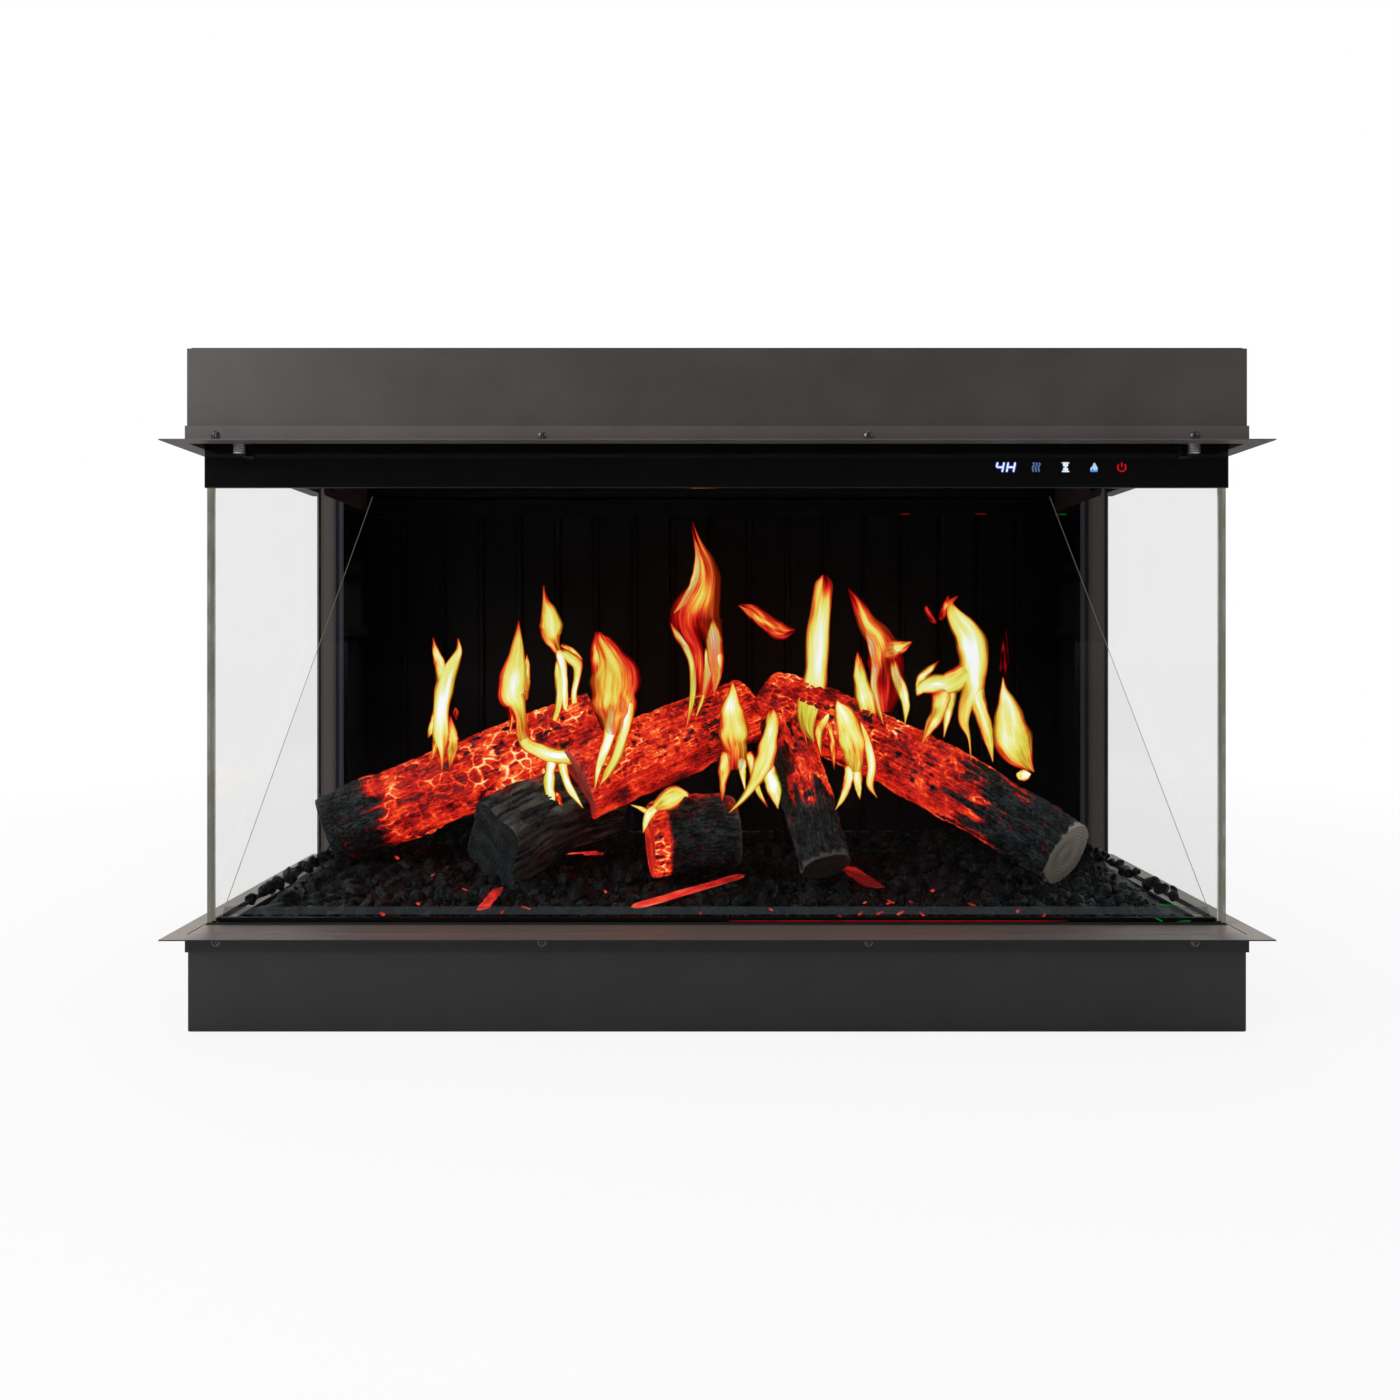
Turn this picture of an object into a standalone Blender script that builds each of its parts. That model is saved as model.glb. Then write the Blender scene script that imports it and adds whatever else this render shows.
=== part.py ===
"""A built-in three-sided electric fireplace, as the separate pieces it is put together from.

A folded steel base carries a coal bed, a set of charred logs and the panes on three sides.
A folded steel head hangs over them and holds a flame screen that faces down. A clear sheet
set at 45 degrees below the screen shows its flames standing among the logs. A cross-flow
blower and a heating element in the head blow warm air down in front of the glass.

Metres, +Z up, the front faces -Y. The origin is the middle of the base's underside, halfway
between the foremost and the rearmost point of the whole fireplace.
"""

import math

import bmesh
import bpy
from mathutils import Matrix, Vector, noise

# Overall sizes.
CASING_WIDTH = 1.060
CASING_DEPTH = 0.600
CASING_HEIGHT = 0.6855
BASE_HEIGHT = 0.098
HEAD_HEIGHT = 0.0965

# Sheet metal, fits and cutting.
SHEET = 0.0015
CLEARANCE = 0.0003
OVERRUN = 0.003
FOLD_RADIUS = 0.0022
EDGE_ROUND = 0.0004
SMOOTH_ANGLE = math.radians(35)

# Trims: an angle outside each casing, with a lip turned out over the wall boards.
TRIM_SHEET = 0.0012
TRIM_LIP = 0.019
TRIM_LEG = 0.0175
TRIM_PAST_POST = 0.035

# Trim screws, one row along the front of each trim.
SCREW_COUNT = 4
FIRST_SCREW = 0.0293
LAST_SCREW = 0.0524
SCREW_HEAD_RADIUS = 0.0047
SCREW_HEAD_HEIGHT = 0.0022
SCREW_CROWN_RADIUS = 0.0028
SCREW_SHANK_RADIUS = 0.0017
SCREW_SHANK_PAST = 0.004
SCREW_FROM_FOLD = 0.0075
SCREW_SIDES = 10

# Base casing: a tray with its rim folded in as the deck that the panes stand on.
SIDE_DECK = 0.020
REAR_DECK = 0.045
DECK_BEHIND_GLASS = 0.0105

# Panes.
GLASS = 0.006
GLASS_SETBACK = 0.035
GLASS_SIDE_INSET = 0.0033
GLASS_CHAMFER = 0.0007
GLASS_INTO_HEAD = 0.0146
GASKET = 0.0012
GASKET_MARGIN = 0.0008

# Rear corner panels and the walls behind the logs.
POST_FROM_REAR = 0.243
POST_FACE = 0.0095
PANEL_REAR_FLANGE = 0.016
WALL_FROM_REAR = 0.037
REAR_WALL_SHEET = 0.0012
RIB_COUNT = 17
RIB_WIDTH = 0.011
RIB_CREST = 0.005
RIB_PROUD = 0.006
RIB_TOP_BELOW_HEAD = 0.009
WING = 0.105
WING_HEM = 0.005
HEADER_FLANGE = 0.014

# Rear cover, with its vents.
VENT_COUNT = 10
VENT_PITCH = 0.016
VENT_WIDTH = 0.005
VENT_LENGTH = 0.042
VENT_END_STEPS = 2
VENT_ROW_FROM_TOP = 0.046
LOW_VENT_ROW_HEIGHT = 0.170
SIDE_VENT_FROM_EDGE = 0.200

# Top cover, with the air inlet over the blower and vents over the boards.
LID_SHEET = 0.0012
LID_INSET = 0.003
LID_FLANGE = 0.014
INLET_SLOT_COUNT = 14
INLET_SLOT_LENGTH = 0.034
INLET_SLOT_FROM_FRONT = 0.036
LID_VENT_FROM_REAR = 0.095

# Head frame: the angle that the tops of the panes stand in.
FRAME_LEG = 0.008
FRAME_SHEET = 0.0015
FRAME_GAP = 0.0003
FRAME_MARGIN = 0.0015

# Soffit: the black plate over the slot in front of the glass, pierced where warm air leaves.
SOFFIT_SHEET = 0.0015
OUTLET_SLOT_COUNT = 15
OUTLET_SLOT_PITCH = 0.0195
OUTLET_SLOT_WIDTH = 0.006
OUTLET_SLOT_LENGTH = 0.019

# Glass clips and their knurled thumbscrews.
CLIP_FROM_EDGE = 0.0437
CLIP_WIDTH = 0.020
CLIP_DEPTH = 0.0205
THUMB_RADIUS = 0.0062
THUMB_GROOVE = 0.0005
THUMB_TEETH = 14
THUMB_HEIGHT = 0.0107
THUMB_BELOW_HEAD = 0.007
THUMB_SHANK_RADIUS = 0.002

# Control fascia: a black glass strip across the top of the front pane, and its touch board.
FASCIA = 0.0037
FASCIA_SIDE_PAST = 0.0008
FASCIA_BELOW_HEAD = 0.040
FASCIA_INTO_HEAD = 0.013
TOUCH_BOARD_FROM_EDGE = 0.172
TOUCH_BOARD_WIDTH = 0.170
TOUCH_BOARD_HEIGHT = 0.030
TOUCH_BOARD_DEPTH = 0.008
KEY_PITCH = 0.0301
KEY_COUNT = 5
KEY_PAD = 0.011
KEY_PAD_PROUD = 0.0015

# Inclined clear sheet, with a rail at its foot and one at its head.
MIRROR = 0.003
MIRROR_SIDE_GAP = 0.001
MIRROR_FROM_GLASS = 0.0050
MIRROR_HEAD_DROP = 0.028
MIRROR_TO_WALL = 0.0075
FOOT_RAIL_HEIGHT = 0.0055
MIRROR_FOOT_HEIGHT = 0.0036
FOOT_RAIL_DEPTH = 0.009
HEAD_RAIL_DEPTH = 0.0065
HEAD_RAIL_HEIGHT = 0.020

# Flame screen, its carrier and the shelf over it.
CARRIER_ABOVE_HEAD = 0.051
CARRIER_FROM_BLOWER = 0.004
CARRIER_UPSTAND = 0.012
SCREEN_SIDE_SPACE = 0.095
SCREEN_END_SPACE = 0.0046
SCREEN_THICKNESS = 0.009
SCREEN_BORDER = 0.012
SHELF_OVER_SCREEN = 0.0035
SHELF_FROM_SCREEN = 0.012
SHELF_LENGTH = 0.240
SHELF_FOOT = 0.014

# Power supply and control board on the shelf.
SUPPLY_LENGTH = 0.200
SUPPLY_WIDTH = 0.098
SUPPLY_HEIGHT = 0.0225
SUPPLY_X = -0.180
FIN_COUNT = 8
FIN_WIDTH = 0.004
FIN_CUT = 0.005
BOARD = 0.0016
BOARD_WIDTH = 0.190
BOARD_LENGTH = 0.130
BOARD_X = 0.170
BOARD_STANDOFF = 0.004
RELAY_COUNT = 3
RELAY_SIDE = 0.018
RELAY_HEIGHT = 0.014
TERMINAL_WIDTH = 0.070
TERMINAL_DEPTH = 0.012
TERMINAL_HEIGHT = 0.012

# Cross-flow blower and heating element, in the bay between the head's front and the screen.
IMPELLER_RADIUS = 0.0215
IMPELLER_BORE = 0.0155
IMPELLER_LENGTH = 0.300
IMPELLER_DISC = 0.0016
BLADE_COUNT = 18
BLADE_THICKNESS = 0.0011
BLADE_STEPS = 3
BLADE_LEAN = math.radians(38)
BLADE_SEAT = 0.0006
DISC_SIDES = 24
STUB_RADIUS = 0.0025
STUB_LENGTH = 0.018
BLOWER_BACKING = 0.0345
BLOWER_ABOVE_SOFFIT = 0.0465
SCROLL_CLOSE = 0.0025
SCROLL_OPEN = 0.0085
SCROLL_START = math.radians(42)
SCROLL_STEPS = 14
SCROLL_SHEET = 0.0012
TONGUE_GAP = 0.0022
TONGUE_ANGLE = math.radians(-78)
HOUSING_END_GAP = 0.003
HOUSING_REAR = 0.029
HOUSING_TOP = 0.0265
BUSH_RADIUS = 0.007
BUSH_LENGTH = 0.008
MOTOR_RADIUS = 0.021
MOTOR_LENGTH = 0.036
MOTOR_BOSS_RADIUS = 0.008
MOTOR_BOSS_LENGTH = 0.003
MOTOR_SIDES = 24
MOTOR_CAP_SHARE = 0.8
MOTOR_CAN_SHARE = 0.9
ELEMENT_FINS = 28
ELEMENT_FIN = 0.0016
ELEMENT_SPINE = 0.0035
ELEMENT_HEIGHT = 0.009
ELEMENT_END_GAP = 0.002
ELEMENT_SIDE_GAP = 0.0008

# Fuel bed: bearers, lights, diffuser, tray and coal bed.
BEARER_FROM_EDGE = 0.090
BEARER_WIDTH = 0.030
TRAY_RIM = 0.020
TRAY_SHEET = 0.0012
TRAY_GAP = 0.0006
WINDOW_BORDER = 0.060
DIFFUSER = 0.003
DIFFUSER_LAP = 0.012
LIGHT_SHELF_HEIGHT = 0.034
LIGHT_SHELF_BORDER = 0.050
LIGHT_BOARD_WIDTH = 0.045
LIGHT_BOARD_INSET_SHARE = 0.25
LIGHT_BOARD = 0.0016
LIGHT_COUNT = 8
LIGHT_SIDE = 0.006
LIGHT_PROUD = 0.0022
BED_SLAB = 0.009
BED_STATIONS = 10
BED_STEPS = 6
COAL_COLUMNS = 12
COAL_ROWS = 5
COAL_RADIUS = 0.031
COAL_RADIUS_SPREAD = 0.007
COAL_SINK = 0.011
COAL_JITTER_SHARE = 0.3
COAL_SHAPE_SHARES = (1.0, 0.85, 0.75)
COAL_EDGE = 0.034
BED_MOUND = 0.016
BED_RISE_SHARE = 0.4

# Charred logs: name, the two ends of the axis, the share of the usual radius at each end, the
# share of the usual bend, how square the section is, how far it is rolled in radians, and the
# number its bark starts from. An end's shares are of the bed's half width across, of the bed's
# length front to back, and of how far the clear sheet rises over the bed, counted from where a
# log lies on the coals.
LOG_SIDES = 14
LOG_RINGS = 11
LOG_RADIUS = 0.040
LOG_LIE_SHARE = 0.75
LOG_END_TAPER_SHARE = 0.92
LOG_BEND = 0.010
LOG_SEAT = 0.0006
BARK_DEPTH = 0.0045
BARK_SCALE = 0.035
CRACK_SHARE = 0.6
CRACK_ROUND_SHARE = 1.7
CRACK_ALONG_SHARE = 1.3
LOGS = (
    ("log_rear_right", (0.137, 0.593, 0.347), (0.830, 0.312, -0.010), 1.025, 1.05, 1.45, 0.0, 0.0, 11),
    ("log_front_left", (-0.523, 0.325, 0.003), (-0.274, 0.593, 0.078), 1.15, 0.90, 1.0, 0.7, -0.5, 23),
    ("log_centre", (-0.329, 0.430, 0.129), (0.066, 0.593, 0.294), 1.225, 1.175, 0.3, 0.0, 0.0, 37),
    ("log_rear_left", (-0.955, 0.492, 0.015), (-0.296, 0.593, 0.259), 1.15, 1.225, 0.0, 0.1, 0.0, 41),
    ("log_front_right", (0.260, 0.290, -0.018), (0.174, 0.545, 0.306), 0.775, 0.70, 1.0, 0.1, 0.0, 59),
    ("log_small_front", (-0.151, 0.312, 0.020), (0.050, 0.350, 0.033), 1.125, 1.075, 0.5, 0.0, 0.0, 67),
)

# Cable gland and mains switch, on the rear cover.
SERVICE_FROM_TOP = 0.046
GLAND_PROUD = 0.012
GLAND_RADIUS = 0.010
GLAND_NUT_RADIUS = 0.0125
GLAND_BORE = 0.0042
GLAND_NUT_HEIGHT = 0.005
GLAND_INSIDE = 0.009
GLAND_TIP_SHARE = 0.75
GLAND_FROM_EDGE = 0.075
SWITCH_FROM_EDGE = 0.130
SWITCH_WIDTH = 0.015
SWITCH_HEIGHT = 0.030
SWITCH_BEZEL = 0.0018
SWITCH_RIM = 0.0022
SWITCH_DEPTH = 0.016
ROCKER_GAP = 0.0006
ROCKER_TILT = math.radians(9)
ROCKER_RISE = 0.0035
ROCKER_SWING_RADIUS = 0.0085
ROCKER_STEPS = 8
ROCKER_WAIST_SHARE = 0.6

# Heights and planes that several pieces share.
HALF_WIDTH = CASING_WIDTH / 2
SCREW_PITCH = (CASING_WIDTH - FIRST_SCREW - LAST_SCREW) / (SCREW_COUNT - 1)
SIDE_VENT_X = HALF_WIDTH - SIDE_VENT_FROM_EDGE
CLIP_X = HALF_WIDTH - CLIP_FROM_EDGE
TOUCH_BOARD_X = HALF_WIDTH - TOUCH_BOARD_FROM_EDGE
BEARER_X = HALF_WIDTH - BEARER_FROM_EDGE
GLAND_X = HALF_WIDTH - GLAND_FROM_EDGE
SWITCH_X = HALF_WIDTH - SWITCH_FROM_EDGE
FRONT = TRIM_LIP - (TRIM_LIP + CASING_DEPTH + GLAND_PROUD) / 2
REAR = FRONT + CASING_DEPTH
COVER_FRONT = REAR - SHEET
DECK = BASE_HEIGHT
HEAD = CASING_HEIGHT - HEAD_HEIGHT
WALL_TOP = CASING_HEIGHT - LID_SHEET - CLEARANCE
PANE_X = HALF_WIDTH - GLASS_SIDE_INSET
PANE_FRONT = FRONT + GLASS_SETBACK
PANE_BACK = PANE_FRONT + GLASS
PANE_FOOT = DECK + GASKET + 2 * CLEARANCE
PANE_TOP = HEAD + GLASS_INTO_HEAD
POST_FRONT = REAR - POST_FROM_REAR
REAR_WALL = REAR - WALL_FROM_REAR
INNER_X = HALF_WIDTH - SHEET - CLEARANCE
DECK_BACK = REAR - REAR_DECK
DECK_FRONT = PANE_BACK + DECK_BEHIND_GLASS
BED_X = HALF_WIDTH - SIDE_DECK
BED_FRONT = DECK_FRONT + TRAY_GAP
BED_BACK = DECK_BACK - TRAY_GAP
BED_LENGTH = BED_BACK - BED_FRONT
TRAY_FLOOR = DECK - TRAY_RIM
BED_FLOOR = TRAY_FLOOR + TRAY_SHEET + DIFFUSER + 2 * CLEARANCE
BED_TOP = BED_FLOOR + BED_SLAB
FRAME_WEB = PANE_TOP + CLEARANCE
SOFFIT = FRAME_WEB
SOFFIT_TOP = SOFFIT + SOFFIT_SHEET
FASCIA_BACK = PANE_FRONT - CLEARANCE
FASCIA_FRONT = FASCIA_BACK - FASCIA
CLIP_BACK = FASCIA_FRONT - CLEARANCE
CLIP_Y = CLIP_BACK - CLIP_DEPTH / 2
KNOB_LOW = HEAD - THUMB_BELOW_HEAD
KNOB_TOP = KNOB_LOW + THUMB_HEIGHT
CARRIER = HEAD + CARRIER_ABOVE_HEAD
MIRROR_X = PANE_X - GLASS - FRAME_GAP - FRAME_SHEET - MIRROR_SIDE_GAP
MIRROR_FOOT_Y = PANE_BACK + MIRROR_FROM_GLASS
MIRROR_HEAD_Y = REAR_WALL - MIRROR_TO_WALL
MIRROR_HEAD_Z = CARRIER - MIRROR_HEAD_DROP
BLOWER_Y = FRONT + BLOWER_BACKING
BLOWER_Z = SOFFIT_TOP + BLOWER_ABOVE_SOFFIT
HOUSING_X = IMPELLER_LENGTH / 2 + HOUSING_END_GAP
HOUSING_BACK = BLOWER_Y + HOUSING_REAR
CARRIER_FRONT = HOUSING_BACK + CARRIER_FROM_BLOWER
CARRIER_BACK = REAR_WALL - CLEARANCE
SCREEN_Y = (CARRIER_FRONT + CARRIER_BACK) / 2
SCREEN_WIDTH = CASING_WIDTH - 2 * SCREEN_SIDE_SPACE
SCREEN_DEPTH = CARRIER_BACK - CARRIER_FRONT - 2 * SCREEN_END_SPACE
SCREEN_BOTTOM = CARRIER + SHEET + CLEARANCE
SCREEN_TOP = SCREEN_BOTTOM + SCREEN_THICKNESS
SHELF = SCREEN_TOP + SHELF_OVER_SCREEN
LOG_RISE = BED_LENGTH * (MIRROR_HEAD_Z - DECK) / (MIRROR_HEAD_Y - MIRROR_FOOT_Y)
SERVICE_Z = CASING_HEIGHT - SERVICE_FROM_TOP


# Scene, materials and the ways that the pieces are made.


def clear_scene():
    for old in list(bpy.data.objects):
        bpy.data.objects.remove(old, do_unlink=True)


def collection(name):
    made = bpy.data.collections.new(name)
    bpy.context.scene.collection.children.link(made)
    return made


def material(name, colour, roughness, metallic=0.0, alpha=1.0, glow=0.0):
    """A Principled material. A glow above zero makes it shine in its own colour."""
    made = bpy.data.materials.new(name)
    made.use_nodes = True
    shader = made.node_tree.nodes["Principled BSDF"]
    shader.inputs["Base Color"].default_value = (*colour, 1.0)
    shader.inputs["Roughness"].default_value = roughness
    shader.inputs["Metallic"].default_value = metallic
    shader.inputs["Alpha"].default_value = alpha
    shader.inputs["Emission Color"].default_value = (*colour, 1.0)
    shader.inputs["Emission Strength"].default_value = glow
    made.diffuse_color = (*colour, alpha)
    return made


def add_object(name, bm, finish):
    """Puts a finished bmesh in the scene as one named piece, smooth except at its folds."""
    bmesh.ops.recalc_face_normals(bm, faces=bm.faces)
    mesh = bpy.data.meshes.new(name)
    bm.to_mesh(mesh)
    bm.free()
    mesh.shade_smooth()
    mesh.set_sharp_from_angle(angle=SMOOTH_ANGLE)
    made = bpy.data.objects.new(name, mesh)
    if finish is None:
        made.hide_render = True
        made.display_type = "WIRE"
        CUTTERS.objects.link(made)
    else:
        mesh.materials.append(finish)
        PIECES.objects.link(made)
    return made


def block(name, low, high, finish):
    """A rectangular block between two opposite corners."""
    size = Vector(high) - Vector(low)
    middle = (Vector(high) + Vector(low)) / 2
    bm = bmesh.new()
    bmesh.ops.create_cube(bm, size=1.0, matrix=Matrix.Translation(middle) @ Matrix.Diagonal((*size, 1.0)))
    return add_object(name, bm, finish)


def blocks(name, corners, finish):
    """Several separate blocks in one mesh, for use as one cutter or one set of bosses."""
    bm = bmesh.new()
    for low, high in corners:
        size = Vector(high) - Vector(low)
        middle = (Vector(high) + Vector(low)) / 2
        place = Matrix.Translation(middle) @ Matrix.Diagonal((*size, 1.0))
        bmesh.ops.create_cube(bm, size=1.0, matrix=place)
    return add_object(name, bm, finish)


def rods(name, centres, direction, radius, length, sides, finish):
    """Separate cylinders of one size in one mesh, each centred on its point along one direction."""
    bm = bmesh.new()
    turn = Vector(direction).to_track_quat("Z", "Y").to_matrix().to_4x4()
    for centre in centres:
        bmesh.ops.create_cone(
            bm,
            cap_ends=True,
            segments=sides,
            radius1=radius,
            radius2=radius,
            depth=length,
            matrix=Matrix.Translation(centre) @ turn,
        )
    return add_object(name, bm, finish)


def prism(name, outline, axis, low, high, finish):
    """A flat outline carried straight along one axis. The outline's points are the other two
    coordinates, in X, Y, Z order."""
    place = {
        "X": lambda a, b: (low, a, b),
        "Y": lambda a, b: (a, low, b),
        "Z": lambda a, b: (a, b, low),
    }[axis]
    along = Vector([(high - low) * (letter == axis) for letter in "XYZ"])
    bm = bmesh.new()
    face = bm.faces.new([bm.verts.new(place(a, b)) for a, b in outline])
    moved = bmesh.ops.extrude_face_region(bm, geom=[face])
    ends = [part for part in moved["geom"] if isinstance(part, bmesh.types.BMVert)]
    bmesh.ops.translate(bm, verts=ends, vec=along)
    return add_object(name, bm, finish)


def rings_object(name, rings, finish, in_triangles=False):
    """A closed solid lofted through closed rings of equally many points, with flat ends. Where
    its sides are uneven, triangles make a copy of it split along the same lines."""
    bm = bmesh.new()
    rows = [[bm.verts.new(point) for point in ring] for ring in rings]
    count = len(rows[0])
    for near, far in zip(rows, rows[1:]):
        for i in range(count):
            j = (i + 1) % count
            if in_triangles:
                bm.faces.new((near[i], near[j], far[j]))
                bm.faces.new((near[i], far[j], far[i]))
            else:
                bm.faces.new((near[i], near[j], far[j], far[i]))
    bm.faces.new(rows[0])
    bm.faces.new(rows[-1])
    return add_object(name, bm, finish)


def around_three_sides(name, outline, half_width, front, rear, finish):
    """A profile carried round the left, front and right sides with mitred front corners. The
    profile's points are how far out from the path it reaches, and its height."""
    stations = (
        lambda out: (-half_width - out, rear),
        lambda out: (-half_width - out, front - out),
        lambda out: (half_width + out, front - out),
        lambda out: (half_width + out, rear),
    )
    rings = [[(*station(out), height) for out, height in outline] for station in stations]
    return rings_object(name, rings, finish)


def thickened(points, thickness):
    """The closed outline of a sheet folded along an open line, with its thickness to the left."""
    points = [Vector(point) for point in points]
    count = len(points)
    sides = []
    for near, far in zip(points, points[1:]):
        run = (far - near).normalized()
        sides.append(Vector((-run.y, run.x)))
    offset = []
    for i, point in enumerate(points):
        before = sides[max(i - 1, 0)]
        after = sides[min(i, count - 2)]
        middle = (before + after).normalized()
        offset.append(point + middle * (thickness / middle.dot(after)))
    return [tuple(point) for point in points] + [tuple(point) for point in reversed(offset)]


def rounded_slot(centre, length, width):
    """The outline of a slot with half-round ends. It runs along the second coordinate."""
    radius = width / 2
    reach = length / 2 - radius
    points = []
    for end in (1, -1):
        for step in range(VENT_END_STEPS + 1):
            angle = math.pi * step / VENT_END_STEPS - math.pi / 2
            run = end * (reach + radius * math.cos(angle))
            across = end * radius * math.sin(angle)
            points.append((centre[0] - across, centre[1] + run))
    return points


def pierced_plate(name, outer, holes, thickness, finish, upright_at=None, level=0.0):
    """A flat plate with holes, from a filled 2D outline. It lies flat with its underside at a
    level, or stands facing the rear with its front at a Y."""
    curve = bpy.data.curves.new(name, "CURVE")
    curve.dimensions = "2D"
    curve.fill_mode = "BOTH"
    curve.extrude = thickness / 2
    for outline in [outer, *holes]:
        spline = curve.splines.new("POLY")
        spline.points.add(len(outline) - 1)
        for point, (a, b) in zip(spline.points, outline):
            point.co = (a, b, 0.0, 1.0)
        spline.use_cyclic_u = True
    made = bpy.data.objects.new(name, curve)
    if upright_at is None:
        made.location = (0.0, 0.0, level + thickness / 2)
    else:
        made.location = (0.0, upright_at + thickness / 2, 0.0)
        made.rotation_euler = (math.pi / 2, 0.0, 0.0)
    curve.materials.append(finish)
    PIECES.objects.link(made)
    return made


def rectangle(low_a, high_a, low_b, high_b):
    return [(low_a, low_b), (high_a, low_b), (high_a, high_b), (low_a, high_b)]


def circle(centre, radius, sides):
    turns = [2 * math.pi * i / sides for i in range(sides)]
    return [(centre[0] + radius * math.cos(t), centre[1] + radius * math.sin(t)) for t in turns]


def boolean(piece, other, operation):
    step = piece.modifiers.new(operation.lower(), "BOOLEAN")
    step.operation = operation
    step.object = other
    step.solver = "EXACT"
    return step


def cut(piece, cutter):
    return boolean(piece, cutter, "DIFFERENCE")


def round_edges(piece, width, segments=1):
    step = piece.modifiers.new("rounded", "BEVEL")
    step.width = width
    step.segments = segments
    step.limit_method = "ANGLE"
    step.angle_limit = SMOOTH_ANGLE
    return step


def turned(name, profile, sides, origin, direction, finish):
    """A turned solid: a profile of radius and height, from its top down, carried round."""
    bm = bmesh.new()
    points = [bm.verts.new((radius, 0.0, height)) for radius, height in profile]
    for near, far in zip(points, points[1:]):
        bm.edges.new((near, far))
    mesh = bpy.data.meshes.new(name)
    bm.to_mesh(mesh)
    bm.free()
    mesh.materials.append(finish)
    made = bpy.data.objects.new(name, mesh)
    PIECES.objects.link(made)
    made.location = origin
    made.rotation_euler = Vector(direction).to_track_quat("Z", "Y").to_euler()
    turn = made.modifiers.new("turned", "SCREW")
    turn.steps = sides
    turn.render_steps = sides
    turn.use_merge_vertices = True
    turn.merge_threshold = 0.00001
    turn.use_smooth_shade = True
    return made


# Base: casing, trim and the seal under the panes.


def make_base_casing():
    outer = rectangle(-HALF_WIDTH, HALF_WIDTH, FRONT, REAR)
    opening = rectangle(-BED_X, BED_X, DECK_FRONT, DECK_BACK)
    bm = bmesh.new()
    floor = [bm.verts.new((x, y, 0.0)) for x, y in outer]
    rim = [bm.verts.new((x, y, DECK)) for x, y in outer]
    edge = [bm.verts.new((x, y, DECK)) for x, y in opening]
    bm.faces.new(list(reversed(floor)))
    for i in range(len(outer)):
        j = (i + 1) % len(outer)
        bm.faces.new((floor[i], floor[j], rim[j], rim[i]))
        bm.faces.new((rim[i], rim[j], edge[j], edge[i]))
    casing = add_object("base_casing", bm, PAINT)
    round_edges(casing, FOLD_RADIUS, 2)
    wall = casing.modifiers.new("sheet", "SOLIDIFY")
    wall.thickness = SHEET
    wall.offset = -1.0
    wall.use_even_offset = True
    cut(casing, screw_holes("base_screw_holes", DECK - SCREW_FROM_FOLD))
    return casing


def screw_places(height):
    """Where the heads of one row of trim screws sit, on the outer face of the trim's leg."""
    face = FRONT - CLEARANCE - TRIM_SHEET
    first = -HALF_WIDTH + FIRST_SCREW
    return [(first + i * SCREW_PITCH, face, height) for i in range(SCREW_COUNT)]


def screw_holes(name, height):
    reach = SHEET + TRIM_SHEET + 2 * OVERRUN
    centres = [(x, FRONT, z) for x, _, z in screw_places(height)]
    radius = SCREW_SHANK_RADIUS + CLEARANCE
    return rods(name, centres, (0, 1, 0), radius, 2 * reach, 12, None)


def make_trim(name, lip_face, leg_way, holes):
    """An angle trim. lip_face is the height of its outer lip face, and leg_way is +1 where its
    leg runs up from there and -1 where it runs down."""
    near = CLEARANCE
    far = CLEARANCE + TRIM_SHEET
    fold = lip_face + leg_way * TRIM_SHEET
    end = lip_face + leg_way * TRIM_LEG
    outline = [
        (near, lip_face),
        (TRIM_LIP, lip_face),
        (TRIM_LIP, fold),
        (far, fold),
        (far, end),
        (near, end),
    ]
    rear = POST_FRONT + TRIM_PAST_POST
    trim = around_three_sides(name, outline, HALF_WIDTH, FRONT, rear, PAINT)
    cut(trim, holes)
    return trim


def make_trim_screws(prefix, height):
    shank = SHEET + TRIM_SHEET + CLEARANCE + SCREW_SHANK_PAST
    profile = [
        (0.0, SCREW_HEAD_HEIGHT),
        (SCREW_CROWN_RADIUS, SCREW_HEAD_HEIGHT),
        (SCREW_HEAD_RADIUS, SCREW_HEAD_HEIGHT / 3),
        (SCREW_HEAD_RADIUS, CLEARANCE),
        (SCREW_SHANK_RADIUS, CLEARANCE),
        (SCREW_SHANK_RADIUS, -shank),
        (0.0, -shank),
    ]
    for number, place in enumerate(screw_places(height), start=1):
        turned(f"{prefix}_{number}", profile, SCREW_SIDES, place, (0, -1, 0), ZINC)


def make_sill_gasket():
    low = DECK + CLEARANCE
    inner = -GLASS - GASKET_MARGIN
    outline = rectangle(inner, GASKET_MARGIN, low, low + GASKET)
    rear = POST_FRONT - CLEARANCE
    around_three_sides("sill_gasket", outline, PANE_X, PANE_FRONT, rear, RUBBER)


# Fuel bed: what carries it, what lights it, and the coals and logs on it.


def make_tray_bearers():
    foot = SHEET + CLEARANCE
    top = TRAY_FLOOR - CLEARANCE
    front = BED_FRONT + SHEET
    for side, name in ((-1, "tray_bearer_left"), (1, "tray_bearer_right")):
        near = side * BEARER_X
        far = side * (BEARER_X + BEARER_WIDTH)
        line = [(far, foot), (near, foot), (near, top), (far, top)]
        outline = thickened(line, side * -SHEET)
        prism(name, outline, "Y", front, BED_BACK, GALVANISED)


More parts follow.
